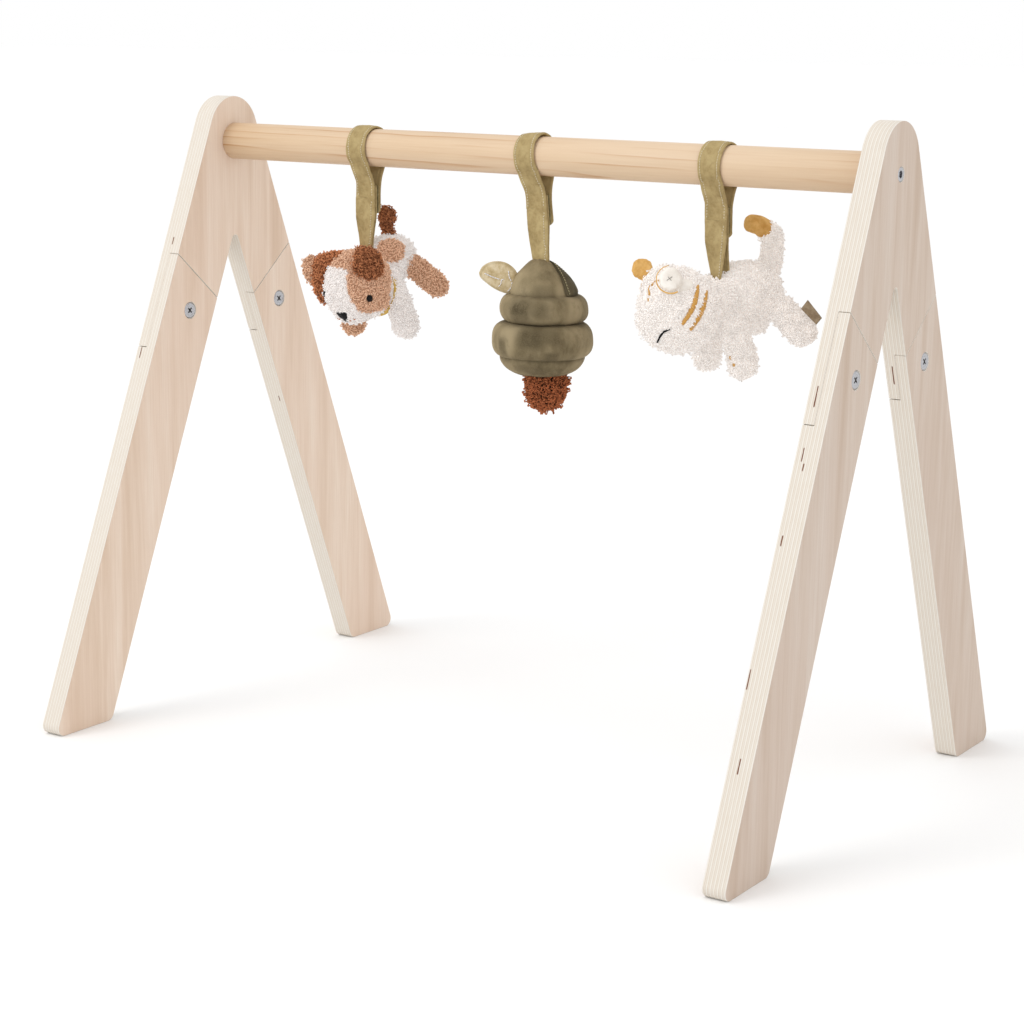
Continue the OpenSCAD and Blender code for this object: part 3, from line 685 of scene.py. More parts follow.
def running_stitch(name, tree, lines, mat, length, gap, thick, lift=0.25):
    """A row of single stitches along each line on a surface; sizes in mm."""
    parts = []
    for points in lines:
        pts = resample(curve_through(points), RUN_STEP * MM)[0]
        per = max(2, int(length / RUN_STEP))
        skip = max(1, int(gap / RUN_STEP))
        k = 0
        while k + per < len(pts):
            row = []
            for j in range(per):
                at, normal, _, _ = tree.find_nearest(Vector(pts[k + j]))
                u = 2 * j / (per - 1) - 1
                row.append(np.array(at) + np.array(normal) * MM * (lift - 0.45 * u * u))
            parts.append(tube(row, thick * MM, 6))
            k += per + skip
    return join_parts(name, parts, mat)


# ---- sizes read from the CAD nodes

bar_lo, bar_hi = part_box("bar")
BAR_Z = (bar_lo.z + bar_hi.z) / 2
BAR_R = (bar_hi.z - bar_lo.z) / 2
head_lo, head_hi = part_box("right_head")
PLY_INNER = head_lo.x
PLY_T = head_hi.x - head_lo.x
PLIES = 13


def strap_x(toy):
    lo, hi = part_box(toy + "_strap_wrap")
    return (lo.x + hi.x) / 2


def strap_end(toy):
    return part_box(toy + "_strap_front")[0].z


def hung(toy, y, drop, turn):
    """A toy's own axes: under its strap, turned in degrees about the upright."""
    at = Matrix.Translation((strap_x(toy), y * MM, strap_end(toy) - drop * MM))
    return at @ Matrix.Rotation(math.radians(turn), 4, "Z")


# the low ends of the hive's dome and its two rolls, in the hive's own mm
DOME_LOW, UPPER_LOW, LOWER_LOW = -28.5, -50, -77
dome_lo, dome_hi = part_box("hive_dome")
roll_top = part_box("hive_upper_roll")[1].z
PLACES = {
    "puppy": hung("puppy", 0, 8, -5) @ Matrix.Translation((4 * MM, -0.4 * MM, 0)),
    "hive": Matrix.Translation(((dome_lo.x + dome_hi.x) / 2, 0, roll_top - DOME_LOW * MM)),
    "tiger": hung("tiger", 1, 5, -26),
}


def world(toy, p):
    """A point given in a toy's own millimetres, in the metres of the scene."""
    return np.array(PLACES[toy] @ (Vector(p) * MM))


def toy_of(name):
    return name.split("_")[0]


def wear(ob, slot=None):
    """Hangs a piece on the toy it is named after; with a slot it stands for the node of its own name."""
    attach(ob, toy_of(ob.name) + "_toy")
    if slot:
        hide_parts(ob.name.split(".")[0])


def paint(node, mat):
    NODES[node].data.materials.clear()
    NODES[node].data.materials.append(mat)


# ---- materials of this object

# each pair is painted shade between the loops, then painted light on the loop tops
WHITE_PILE = (srgb(232, 225, 221), srgb(245, 240, 237))
CREAM_PILE = (srgb(233, 227, 222), srgb(247, 242, 238))
TAN_PILE = (srgb(162, 117, 88), srgb(233, 191, 160))
BROWN_PILE = (srgb(84, 42, 22), srgb(208, 138, 96))
RUSSET_PILE = (srgb(30, 11, 5), srgb(196, 118, 78))
mat_white = pile("white_loops", *WHITE_PILE, *TAN_PILE, painted_glow=0.21)
mat_cloud = pile("cream_loops", *CREAM_PILE, painted_glow=0.26)
mat_tan = pile("tan_loops", *TAN_PILE)
mat_brown = pile("brown_curls", *BROWN_PILE, *TAN_PILE)
mat_russet = pile("russet_curls", *RUSSET_PILE, painted_glow=0.05, deep=0.4)
mat_strap = velvet("strap_velvet", srgb(136, 116, 76), srgb(164, 143, 99), srgb(186, 167, 122), 7, "UV",
                   sheen=0.2, contrast=0.85, tooth=0.16)
mat_tape = velvet("hook_and_loop", srgb(120, 108, 74), srgb(140, 128, 92), srgb(160, 148, 112), 400)
mat_olive = velvet("olive_velvet", srgb(84, 73, 51), srgb(122, 109, 82), srgb(156, 141, 111), 24,
                   contrast=1.3, tooth=0.3, detail=2.5, stroke=0.6)
mat_flap = velvet("dark_velvet", srgb(56, 50, 34), srgb(76, 68, 50), srgb(96, 87, 66), 60)
mat_leaf = velvet("leaf_velvet", srgb(168, 146, 102), srgb(190, 170, 130), srgb(212, 196, 164), 120,
                  contrast=1.3)
mat_mustard = velvet("mustard_velvet", srgb(186, 136, 66), srgb(214, 168, 98), srgb(230, 192, 128), 50)
mat_cream = velvet("cream_velvet", srgb(222, 214, 204), srgb(236, 230, 222), srgb(244, 240, 233), 60)
mat_label = velvet("woven_label", srgb(124, 106, 84), srgb(142, 124, 101), srgb(160, 144, 120), 300)
mat_ribbon = velvet("mustard_ribbon", srgb(176, 140, 62), srgb(200, 164, 84), srgb(216, 184, 110), 120)
mat_black = thread("black_thread", srgb(18, 17, 19), 0.5)
mat_gold = thread("gold_thread", srgb(222, 168, 82), 0.32)
mat_white_thread = thread("white_thread", srgb(244, 242, 244), 0.4)
mat_seam = thread("seam_thread", srgb(230, 221, 196), 0.6)
mat_khaki_thread = thread("khaki_thread", srgb(178, 166, 126), 0.5)
mat_grey_thread = thread("grey_thread", srgb(150, 146, 138), 0.5)
mat_rust_thread = thread("rust_thread", srgb(190, 112, 64), 0.5)
mat_steel = metal("zinc_plated_steel", (0.52, 0.52, 0.54), 0.25)
mat_insert = metal("passivated_steel", (0.60, 0.56, 0.46), 0.4)

# ---- wooden frame: the grain's turn on each piece, the painted shade of each side (the right frame darker, as if it faced away from the light), and the slits in the core plies

LEAN = math.radians(22.2)
GRAIN = {"head": 0.0, "front_leg": LEAN, "back_leg": -LEAN}
# painted shade: the right frame's faces are multiplied darker and cooler than the left's
SIDE_SHADES = {"left": (1.0, 0.99, 0.98), "right": (0.80, 0.81, 0.83)}
# painted shade: each slit darkens a gap in the core plies as if in shadow
SLITS = {
    "left_head": [(0.5, 388, 2.5)],
    "left_front_leg": [(0.75, 299, 4.5)],
    "left_back_leg": [(0.3, 240, 2)],
    "right_head": [(0.33, 322, 6.5)],
    "right_front_leg": [(0.3, 284, 4), (0.42, 276, 2), (0.2, 228, 3), (0.08, 139, 6), (0.45, 85, 4.5)],
    "right_back_leg": [(0.45, 318, 3)],
}
HARDWARE = {"bar_bolts": mat_steel, "leg_bolts": mat_steel, "leg_nuts": mat_steel, "bar_inserts": mat_insert}
WOOD_EDGE, METAL_EDGE = 0.5, 0.12  # mm, how far the sharp edges are eased


def soften(ob, width):
    """Flattens a node's faces and eases its sharp edges."""
    weld = ob.modifiers.new("weld", "WELD")
    weld.merge_threshold = 0.02 * MM
    flat = ob.modifiers.new("flat_faces", "DECIMATE")
    flat.decimate_type = "DISSOLVE"
    flat.angle_limit = math.radians(1)
    soft = ob.modifiers.new("soft_edges", "BEVEL")
    soft.width = width * MM
    soft.segments = 2
    soft.limit_method = "ANGLE"
    soft.angle_limit = math.radians(35)
    soft.harden_normals = True


for side in ("left", "right"):
    for piece, turn in GRAIN.items():
        node = f"{side}_{piece}"
        paint(node, plywood(node.replace("_leg", "") + "_ply", turn, SIDE_SHADES[side], SLITS[node]))
        soften(NODES[node], WOOD_EDGE)
paint("bar", pine("turned_pine"))
soften(NODES["bar"], WOOD_EDGE)
for node, mat in HARDWARE.items():
    paint(node, mat)
    soften(NODES[node], METAL_EDGE)

# ---- straps

STRAP_W, STRAP_T = 19 * MM, 2.3 * MM
WRAP_R = BAR_R + 0.3 * MM + STRAP_T / 2
MID_Z = BAR_Z - 40 * MM
TUCK = 3 * MM  # the front strap's lower half starts this far up inside its upper half
BAND_COLS = 28
# tilt leans a strap in the plane of the bar. The rest are mm: the ends of the front and the sewn ply in Y,
# the widths of each at its top and bottom, how far they run into the toy, and how far the low end sways
STRAPS = {
    "puppy": dict(tilt=0.0, front_y=-2.2, sewn_y=0.6, front_w=(19, 12), sewn_w=(18, 11), drop=6, sway=0.0),
    "hive": dict(tilt=math.radians(5.5), front_y=-2.0, sewn_y=0.4, front_w=(18.5, 14.5), sewn_w=(17.5, 13.5),
                 drop=1.5, sway=0.0),
    "tiger": dict(tilt=0.0, front_y=-3.5, sewn_y=8.0, front_w=(18, 8.5), sewn_w=(17, 12), drop=4, sway=2.6),
}


def length_along(path):
    return np.r_[0, np.cumsum(np.linalg.norm(np.diff(path, axis=0), axis=1))]


def swayed(path, x, sway):
    """Where each point of a strap is along the bar."""
    walk = length_along(path)
    return x + sway * (walk / walk[-1]) ** 1.6


def leant(x, tilt):
    pivot = Matrix.Translation((x, 0, BAR_Z))
    return pivot @ Matrix.Rotation(-tilt, 4, "Y") @ pivot.inverted()


def band(name, path, widths, seed, x, tilt, crease=(), start=0.0, way=1, sway=0.0):
    """A closed strap along path, points (y, z), its width along X. start and way say where its length count
    begins and which way it runs, so two straps can follow each other; where a reversed one counts above zero
    it is tucked inside its neighbour. UV runs along and across it, in tens of centimetres."""
    path = np.array(path)
    tan = unit(np.gradient(path, axis=0))
    nor = np.stack([tan[:, 1], -tan[:, 0]], 1)
    along = start + way * length_along(path)
    across = swayed(path, x, sway)
    u = np.sin(np.linspace(-1, 1, BAND_COLS + 1) * math.pi / 2)
    edge = np.sqrt(np.clip(1 - np.abs(u) ** 4.5, 0, 1))
    ring_u = np.r_[u, u[::-1][1:-1]]
    ring_s = np.r_[edge, -edge[::-1][1:-1]]
    count = len(ring_u)
    # a pressed line beside each edge, and the edge rolled up outside it
    seam = np.where(np.abs(ring_s) > 0.2, np.sign(ring_s), 0) * -0.34 * MM * bell(np.abs(ring_u) - 0.72, 0.06)
    roll = 0.9 + 0.22 * (1 - ring_u ** 2) + 0.3 * bell(np.abs(ring_u) - 0.88, 0.1)
    verts, uv = [], []
    for k in range(len(path)):
        p3 = np.stack([ring_u * 3.1 + seed, np.full(count, along[k] / (6 * MM)), ring_s * 0.2], 1)
        wave = soft_noise(p3, seed)
        lift = 0.22 * MM * wave + 0.10 * MM * soft_noise(p3 * 2.7, seed + 3)
        for at, deep in crease:
            lift = lift - deep * MM * bell(along[k] - at, 1.1 * MM) * (0.7 + 0.5 * wave)
        off = ring_s * STRAP_T / 2 * roll + seam + lift
        half = widths[k] / 2 * (1 + 0.02 * math.sin(along[k] / (7 * MM) + seed))
        if way < 0 and along[k] > 0.3 * MM:
            off, half = 0.8 * off, 0.96 * half
        for j in range(count):
            y, z = path[k] + nor[k] * off[j]
            verts.append((across[k] + ring_u[j] * half, y, z))
            uv.append((along[k] * 10, (ring_u[j] * half + 3 * STRAP_T * (ring_s[j] < 0)) * 10))
    faces = grid_faces(len(path), count, turned=True)
    # the ends are closed by a fan of strips across
    for k, flip in ((0, False), (len(path) - 1, True)):
        base = k * count
        for j in range(BAND_COLS):
            a, b = base + j, base + j + 1
            c, d = base + (count - j - 1) % count, base + (count - j) % count
            face = [a, b, c] if j == 0 else [a, b, d] if j == BAND_COLS - 1 else [a, b, c, d]
            faces.append(tuple(face if flip else reversed(face)))
    ob = new_mesh(name, verts, faces, mat_strap)
    ob.data.transform(leant(x, tilt))
    layer = ob.data.uv_layers.new(name="UVMap")
    loops = np.zeros(len(ob.data.loops), np.int64)
    ob.data.loops.foreach_get("vertex_index", loops)
    layer.data.foreach_set("uv", np.array(uv, np.float32)[loops].ravel())
    tidy_mesh(ob, 1e-7)
    return ob


def edge_stitches(ob, path, widths, x, tilt, sides, sway=0.0, outward=1):
    """Rows of stitches along a strap's outer face, near its edges. outward is -1 for a path down the front."""
    tan = unit(np.gradient(path, axis=0))
    out = path + np.stack([-tan[:, 1], tan[:, 0]], 1) * 2 * MM * outward
    across = swayed(path, x, sway)
    inner = range(2, len(path) - 2)
    lines = [[leant(x, tilt) @ Vector((across[k] + side * 0.36 * widths[k], *out[k])) for k in inner]
             for side in sides]
    return running_stitch(ob.name + "_stitches", surface_of(ob), lines, mat_seam, 1.5, 0.6, 0.25, 0.2)


def over_bar(free):
    """The strap's path from the middle of its front, over the bar and down the back to its free end."""
    front = [(-3.0, -40), (-3.0, -31), (-4.2, -25.5), (-8.4, -18.4)]
    back = [(9.5, -17.2), (6.4, -25), (5.2, -31), (5.3, -42)]
    points = [(0, y * MM, BAR_Z + z * MM) for y, z in front]
    points += [(0, -WRAP_R * math.cos(a), BAR_Z + WRAP_R * math.sin(a))
               for a in np.linspace(math.radians(-44), math.radians(218), 44)]
    points += [(0, y * MM, BAR_Z + z * MM) for y, z in back] + [(0, 5.3 * MM, free)]
    return resample(curve_through(points, 10 * len(points)), 0.9 * MM)[0][:, 1:]


def drop_path(y_top, z_top, y_end, z_end, count):
    """A ply that hangs straight and then eases over to where it is sewn in."""
    t = np.linspace(0, 1, count)
    return np.stack([(y_top + (y_end - y_top) * t ** 2.2) * MM, z_top + (z_end - z_top) * t], 1)


for index, toy in enumerate(STRAPS):
    s, x, end = STRAPS[toy], strap_x(toy), strap_end(toy)
    tilt, sway = s["tilt"], s["sway"] * MM
    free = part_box(toy + "_strap_back")[0].z
    path = over_bar(free)
    tail = np.clip(np.abs(path[:, 1] - free) / (5 * MM), 0, 1)
    in_tail = (np.arange(len(path)) > len(path) / 2) & (tail < 1)
    width = STRAP_W * np.where(in_tail, np.sqrt(np.clip(1 - (1 - tail) ** 2.2, 0.12, 1)), 1)
    upper = band(toy + "_strap", path, width, 3 + index, x, tilt, crease=((15 * MM, 0.3), (112 * MM, 0.3)))
    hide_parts(toy + "_strap_wrap", toy + "_strap_front", toy + "_strap_back")
    seam = edge_stitches(upper, path, width, x, tilt, (-1, 1))
    for ob in (upper, seam):
        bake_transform(ob)

    low = end - s["drop"] * MM - 6 * MM
    path = drop_path(-3.0, MID_Z + TUCK, s["front_y"], low, 60)
    top_w, low_w = s["front_w"]
    width = np.interp(path[:, 1], [low + 4 * MM, MID_Z - 16 * MM, MID_Z], [low_w * MM, top_w * MM, STRAP_W])
    lower = band(toy + "_strap_lower", path, width, 3 + index, x, tilt, start=TUCK, way=-1, sway=sway)
    seam_path, seam_width = path[6:], width[6:]  # no stitches on the first few mm, where it is tucked in
    path = drop_path(0.2, BAR_Z - 30 * MM, s["sewn_y"], low, 44)
    top_w, low_w = s["sewn_w"]
    width = np.interp(path[:, 1], [low + 4 * MM, MID_Z - 14 * MM], [low_w * MM, top_w * MM])
    sewn = band(toy + "_strap_sewn", path, width, 23 + index, x, tilt, sway=sway)
    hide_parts(toy + "_strap_short")
    seam = edge_stitches(lower, seam_path, seam_width, x, tilt, (1,), sway, -1)
    for ob in (lower, sewn, seam):
        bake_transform(ob)
    for tape in ("hook_tape", "loop_tape"):
        paint(f"{toy}_{tape}", mat_tape)


# ---- stuffed parts

# yarn: how many loops on a square millimetre, then their height and width and the yarn's radius in mm
LOOPS = (0.48, 1.5, 2.0, 0.5)


def stuffed(name, balls, mat, slot, seed, voxel=2.2, discs=(), curls=False, yarn_size=LOOPS, tint=None,
            calm=(), calm_r=2.6, smooth=6, inset=0.0):
    """One stuffed part: fused, filled by the cloth solver, refined, then sewn over with yarn. inset sinks the
    skin under the yarn. Returns the bare skin's surface."""
    place = PLACES[toy_of(name)]
    ob = fuse(name, balls, voxel, place, smooth, discs)
    ob.data.materials.append(mat)
    puff(ob, 1.2)
    refine(ob)
    p, n = points_of(ob), normals_of(ob)
    tufts = 0.6 * soft_noise(p / (9 * MM), seed + 5) + 0.7 * soft_noise(p / (3.2 * MM), seed + 6)
    move_points(ob, p + n * ((tufts - inset) * MM)[:, None])
    tree = surface_of(ob)
    p = points_of(ob)
    calm = [world(toy_of(name), c) for c in calm]
    verts, quads, shade, root = yarn(ob, *yarn_size, seed, calm, calm_r, curls)
    add_quads(ob, verts, quads)
    # painted shade: the bare skin between the loops gets a low pile value
    store(ob, "pile", np.r_[np.full(len(p), 0.35), shade])
    if tint is not None:
        inverse = np.array(place.inverted())
        every = np.vstack([p, root])
        store(ob, "tint", tint((every @ inverse[:3, :3].T + inverse[:3, 3]) / MM))
    wear(ob, slot)
    return tree


def smooth_velvet(name, balls, mat, seed, voxel=1.6, discs=()):
    """A stuffed velvet part: smooth, with slow dents."""
    ob = fuse(name, balls, voxel, PLACES[toy_of(name)], 8, discs)
    ob.data.materials.append(mat)
    puff(ob, 0.8)
    refine(ob)
    p, n = points_of(ob), normals_of(ob)
    dents = 0.35 * soft_noise(p / (5 * MM), seed) + 0.12 * soft_noise(p / (1.7 * MM), seed + 1)
    move_points(ob, p + n * MM * dents[:, None])
    wear(ob, "mustard_velvet")


def rest_on(tree, toy, p):
    """The nearest spot of a surface, and the way it faces."""
    at, normal, _, _ = tree.find_nearest(Vector(world(toy, p)))
    return np.array(at), np.array(normal)


def right_and_up(n):
    """Two directions in the surface that faces n: level, and as near upright as it can be."""
    up = unit(np.array([0, 0, 1.0]) - n * n[2])
    return np.cross(up, n), up


# ---- puppy

P_HEAD = np.array([2.4, -17.2, -29.0])
P_FACE = np.array([0.186, -0.747, -0.72])


def puppy_patch(p):
    """Tan over the puppy's left eye and across the top of its head."""
    x, y, z = p.T
    wob = 0.9 * soft_noise(p / 2.2, 51)
    side = x - (8 + 0.33 * (-z - 12)) + wob
    low = z + 51.5 - 0.25 * (y + 21) + wob
    crown = z + 16.5 + wob
    return step_up(np.maximum(np.minimum(side, low), crown), -0.35, 0.35)


def puppy_back_patch(p):
    """Tan over the left of the puppy's back."""
    d = (p - (15.6, 9.0, -2.2)) / (12.8, 13.4, 12.0)
    return step_up(1 - np.linalg.norm(d, axis=1) + 0.045 * soft_noise(p / 2.2, 52), -0.02, 0.02)


def near_ear_rim(p):
    """Half tan away from the middle of the puppy's left ear."""
    return 0.6 * step_up(np.linalg.norm((p - (21, -27.5, -12)) / 15, axis=1), 0.85, 1.15)


def far_ear_outside(p):
    """Tan on the side of the puppy's right ear that is turned away from the head."""
    return step_up(-(p[:, 0] * 0.8 + p[:, 1] * 0.6) - 45.4 + 0.9 * soft_noise(p / 2.2, 53), -0.5, 0.5)


NOSE_AT = P_HEAD + P_FACE * 35 + (-1, 0, -1)
EYES_AT = [P_HEAD + np.array(v) * 1.04 for v in ((24.5, -13.5, -9.8), (-15.2, -23.5, -9.8))]
NOSE_CALM = [NOSE_AT + v for v in ((0, 0, 0), (3, 0, 1.5), (-3, 0, 1.5), (0, 0, -3))]
CHEEK_BALLS = [(P_HEAD + (side * 8.1, 2.5, -11), 18) for side in (1, -1)]
head_tree = stuffed("puppy_head", [(P_HEAD, 27.4), (P_HEAD + P_FACE * 9, 24.6),
                                   (P_HEAD + P_FACE * 18 + (1.5, 1, -3.5), 16.6), *CHEEK_BALLS],
                    mat_white, "white_boucle", 21, inset=1.1, tint=puppy_patch, calm=NOSE_CALM + EYES_AT,
                    calm_r=4.8)
stuffed("puppy_body", limb((0, 19, -13), (0, 26.5, -13), 20.2) + limb((0, -2, -25), (0, 16, -19), 17.5)
        + limb((0, 8, -30), (0, 20, -25), 12), mat_white, "white_boucle", 22, inset=1.1,
        tint=puppy_back_patch)
PUPPY_LEGS = {
    "left_front": (limb((17, 4, -28), (29.5, 10, -64), 9.4, 10.4, (1, 0, 0)), mat_white, "white_boucle", 0.0),
    "right_front": (limb((-17, 4, -30), (-24.5, 6.5, -68), 9.2, 9.6, (-1, 0, 0)), mat_tan, "tan_boucle", 0.0),
    "left_hind": (limb((13, 31, -16), (29.0, 50.0, -35), 8.8, 9.3, (0, 0, 1)), mat_tan, "tan_boucle", 0.4),
    "right_hind": (limb((-13, 31, -16), (-28.5, 48.5, -35), 8.8, 9.3, (0, 0, 1)), mat_tan, "tan_boucle", 0.4),
}
for index, (leg, (balls, mat, slot, inset)) in enumerate(PUPPY_LEGS.items()):
    stuffed(f"puppy_{leg}_leg", balls, mat, slot, 23 + index, inset=inset)
stuffed("puppy_tail", limb((-3, 25.6, 4), (-4, 24.8, 9), 5.6, 3.4, steps=6)
        + limb((-4.2, 24.4, 15.5), (-4, 23.6, 23), 5.2, 5.8, steps=8), mat_brown, "brown_boucle", 27, 1.4,
        curls=True, yarn_size=(0.7, 3.8, 2.4, 0.5), smooth=2)
stuffed("puppy_left_ear", [], mat_brown, "brown_boucle", 28, 1.6, curls=True, yarn_size=(0.62, 4.2, 2.4, 0.5),
        tint=near_ear_rim, smooth=3, discs=[disc((22, -27.8, -14), (12.0, 12.0, 4.0), (0, 52, -24)),
                                             disc((19, -25.5, -8.5), (11.0, 10.5, 4.5), (0, 40, -30))])
FAR_EAR = curve_through([(-6.5, -22, -9.0), (-15.5, -30, -10.5), (-24.5, -34.5, -17.5), (-25.5, -33.5, -31),
                         (-22.5, -30.5, -45)], 24)
far_ear_radii = np.interp(np.linspace(0, 1, len(FAR_EAR)), [0, 0.25, 0.55, 0.8, 1], [3.6, 5.0, 6.2, 5.4, 2.6])
stuffed("puppy_right_ear", list(zip(FAR_EAR, far_ear_radii)), mat_brown, "brown_boucle", 29, 1.5,
        yarn_size=(0.6, 1.9, 2.0, 0.5), tint=far_ear_outside, smooth=3,
        discs=[disc((-32.2, -37.2, -19.5), (5.2, 6.5, 10.5), (0, 0, 35))])

NOSE_SPOKES, NOSE_ROWS = 48, 16


def cushion_patch(name, tree, centre, outline, height, mat):
    """A small cushion of satin stitches on a surface. outline gives its radius in mm by angle."""
    at, n = rest_on(tree, toy_of(name), centre)
    right, up = right_and_up(n)
    verts = [at + n * height * MM]
    for k in range(1, NOSE_ROWS + 1):
        t = k / NOSE_ROWS
        for j in range(NOSE_SPOKES):
            a = 2 * math.pi * j / NOSE_SPOKES
            rad = outline(a) * MM * t
            hit = tree.find_nearest(Vector(at + right * math.cos(a) * rad + up * math.sin(a) * rad))[0]
            ridge = 0.09 * MM * math.sin(rad * math.cos(a) / (0.16 * MM)) * (1 - t)
            rise = height * MM * math.sqrt(1 - t ** 4) + ridge
            verts.append(np.array(hit) + n * (rise - 0.5 * MM * (k == NOSE_ROWS)))
    verts.append(at - n * 1.2 * MM)
    last = 1 + (NOSE_ROWS - 1) * NOSE_SPOKES
    turns = [(j, (j + 1) % NOSE_SPOKES) for j in range(NOSE_SPOKES)]
    faces = [(0, 1 + j, 1 + k) for j, k in turns]
    faces += grid_faces(NOSE_ROWS, NOSE_SPOKES, base=1, turned=True)
    faces += [(len(verts) - 1, last + k, last + j) for j, k in turns]
    return new_mesh(name, verts, faces, mat)


def soft_triangle(a, apothem=3.9, corner=7.0):
    """Radius of a rounded triangle at the angle a, one corner down."""
    sides = [max(0.0, math.cos(a - math.radians(k))) for k in (90, 210, 330)]
    return apothem / sum(c ** corner for c in sides) ** (1 / corner)


wear(cushion_patch("puppy_nose", head_tree, NOSE_AT, soft_triangle, 2.0, mat_black), "black_thread")
eye_threads = []
for place in EYES_AT:
    at, n = rest_on(head_tree, "puppy", place)
    right, up = right_and_up(n)
    for k in range(9):
        a = math.pi * k / 9 + 0.2
        across = right * math.cos(a) + up * math.sin(a)
        eye_threads.append(stitch(at, n, across, 2.9 if k % 3 else 3.3, 1.4 + 0.07 * k, 0.9,
                                  (0.3, 0.5, 0.6, 0.6, 0.6, 0.5, 0.3), 8))
wear(join_parts("puppy_eyes", eye_threads, mat_black), "black_thread")
freckles = []
for off in ((5.8, 3.2, -4.2), (9.0, 5.8, -2.6), (-6.4, 1.5, -3.8), (-9.0, 4.5, -2.2)):
    at, n = rest_on(head_tree, "puppy", NOSE_AT + off)
    freckles.append(stitch(at, n, unit(np.cross(n, (0, 0, 1))), 0.9, 1.5, 0.5, (0.15, 0.4, 0.5, 0.4, 0.15)))
wear(join_parts("puppy_freckles", freckles, mat_rust_thread))

ACROSS = (-0.5, -0.25, 0, 0.25, 0.5)
COLLAR_SECTION = [(w, -1) for w in ACROSS] + [(w, 1) for w in ACROSS[::-1]]


def ribbon(name, centre, radius, tilt, width, thick, mat):
    """A flat ribbon ring that waves a little."""
    rings, verts = 96, []
    turn = Matrix.Rotation(math.radians(tilt), 4, "X")
    for k in range(rings):
        a = 2 * math.pi * k / rings
        wob = 0.5 * math.sin(3 * a) + 0.3 * math.sin(7 * a + 1)
        for w, t in COLLAR_SECTION:
            rr = radius + wob * 0.4 + t * thick / 2
            spot = turn @ Vector((rr * math.cos(a), rr * math.sin(a), w * width + wob))
            verts.append(world(toy_of(name), Vector(centre) + spot))
    count = len(COLLAR_SECTION)
    faces = [tuple(i % len(verts) for i in face) for face in grid_faces(rings + 1, count)]
    return new_mesh(name, verts, faces, mat)


wear(ribbon("puppy_collar", (7.4, 0.2, -37), 20.2, 80, 5.5, 0.9, mat_ribbon), "mustard_ribbon")

# ---- beehive

# where the nap is stroked dark: turn round the hive in degrees, height, half turn, half height, strength
BRUSHED = [(-90, -39, 18, 10, 1.0), (-68, -37, 20, 7, 0.75), (-72, -58, 18, 9, 0.9), (-50, -57, 14, 6, 0.7),
           (-109, -67, 7, 8, 0.8), (-46, -73, 9, 4, 0.8), (-55, -25, 20, 6, 0.5), (-75, -84, 22, 4, 0.5),
           (60, -40, 30, 8, 0.7), (140, -62, 28, 9, 0.7), (-160, -38, 16, 8, 0.7)]
HIVE_SPOKES, HIVE_ROW = 220, 0.7  # points round each row of the hive's skin, and mm from row to row
DOME_LEAN = -3.4


def off_axis(z, lean, shift=0.0):
    """How far a hive part's middle is off the axis at a height: more of its lean the higher it is."""
    off = shift + lean * max(0.0, 1 + z / 28.0)
    return 0.84 * off, 0.54 * off


def hive_ring(name, profile, seed, top_seam, bottom_seam, shift=0.0, lean=0.0):
    """A stuffed velvet body of revolution: profile is (radius, height) in mm. It puckers where it is sewn."""
    rows = resample(curve_through([(r, 0, z) for r, z in profile], 12 * len(profile)), HIVE_ROW)[0]
    angle = np.linspace(0, 2 * math.pi, HIVE_SPOKES, endpoint=False)
    cos, sin = np.cos(angle), np.sin(angle)

    def round_noise(around, upright, z, seed):
        return soft_noise(np.stack([cos * around, sin * around, np.full(HIVE_SPOKES, z / upright)], 1), seed)

    verts, hollow, brushed = [], [], []
    for r, _, z in rows:
        big = round_noise(2.2, 18, z, seed)
        pleat = round_noise(7.5, 30, z, seed + 1)
        dent = round_noise(3.4, 9, z, seed + 2)
        near = sum(math.exp(-abs(z - seam) / 4.0) for seam in (top_seam, bottom_seam) if seam is not None)
        radius = r * (1 + 0.022 * big) + (0.55 * near * pleat + 0.35 * dent) * min(1, r / 12)
        x, y = off_axis(z, lean, shift)
        spots = np.stack([radius * cos + x, radius * sin + y, z + 0.5 * big], 1)
        verts += [world("hive", p) for p in spots]
        # painted shade in the puckered creases near the seams
        hollow.extend(min(1.0, 0.9 * near * near) * (0.75 + 0.25 * pleat))
        stroked = np.zeros(HIVE_SPOKES)
        for turn, height, half_turn, half_height, strength in BRUSHED:
            away = (np.degrees(angle) - turn + 180) % 360 - 180
            patch = strength * np.exp(-(away / half_turn) ** 4 - ((z - height) / half_height) ** 4)
            stroked = np.maximum(stroked, patch)
        brushed.extend(stroked)
    last = (len(rows) - 1) * HIVE_SPOKES
    faces = grid_faces(len(rows), HIVE_SPOKES)
    faces += [tuple(range(HIVE_SPOKES)), tuple(range(last, last + HIVE_SPOKES))[::-1]]
    ob = new_mesh(name, verts, [f[::-1] for f in faces], mat_olive)
    store(ob, "hollow", hollow)
    store(ob, "brushed", brushed)
    wear(ob, "olive_velvet")


def roll_profile(r, low, high, neck, steps=18):
    """Half a flattened circle, from the top seam at radius neck round the rim to the bottom seam."""
    mid, half = (low + high) / 2, (high - low) / 2
    out = []
    for k in range(steps + 1):
        a = math.pi / 2 - math.pi * k / steps
        c, s = math.cos(a), math.sin(a)
        out.append((neck + (r - neck) * abs(c) ** 0.72, mid + half * math.copysign(abs(s) ** 0.94, s)))
    return out


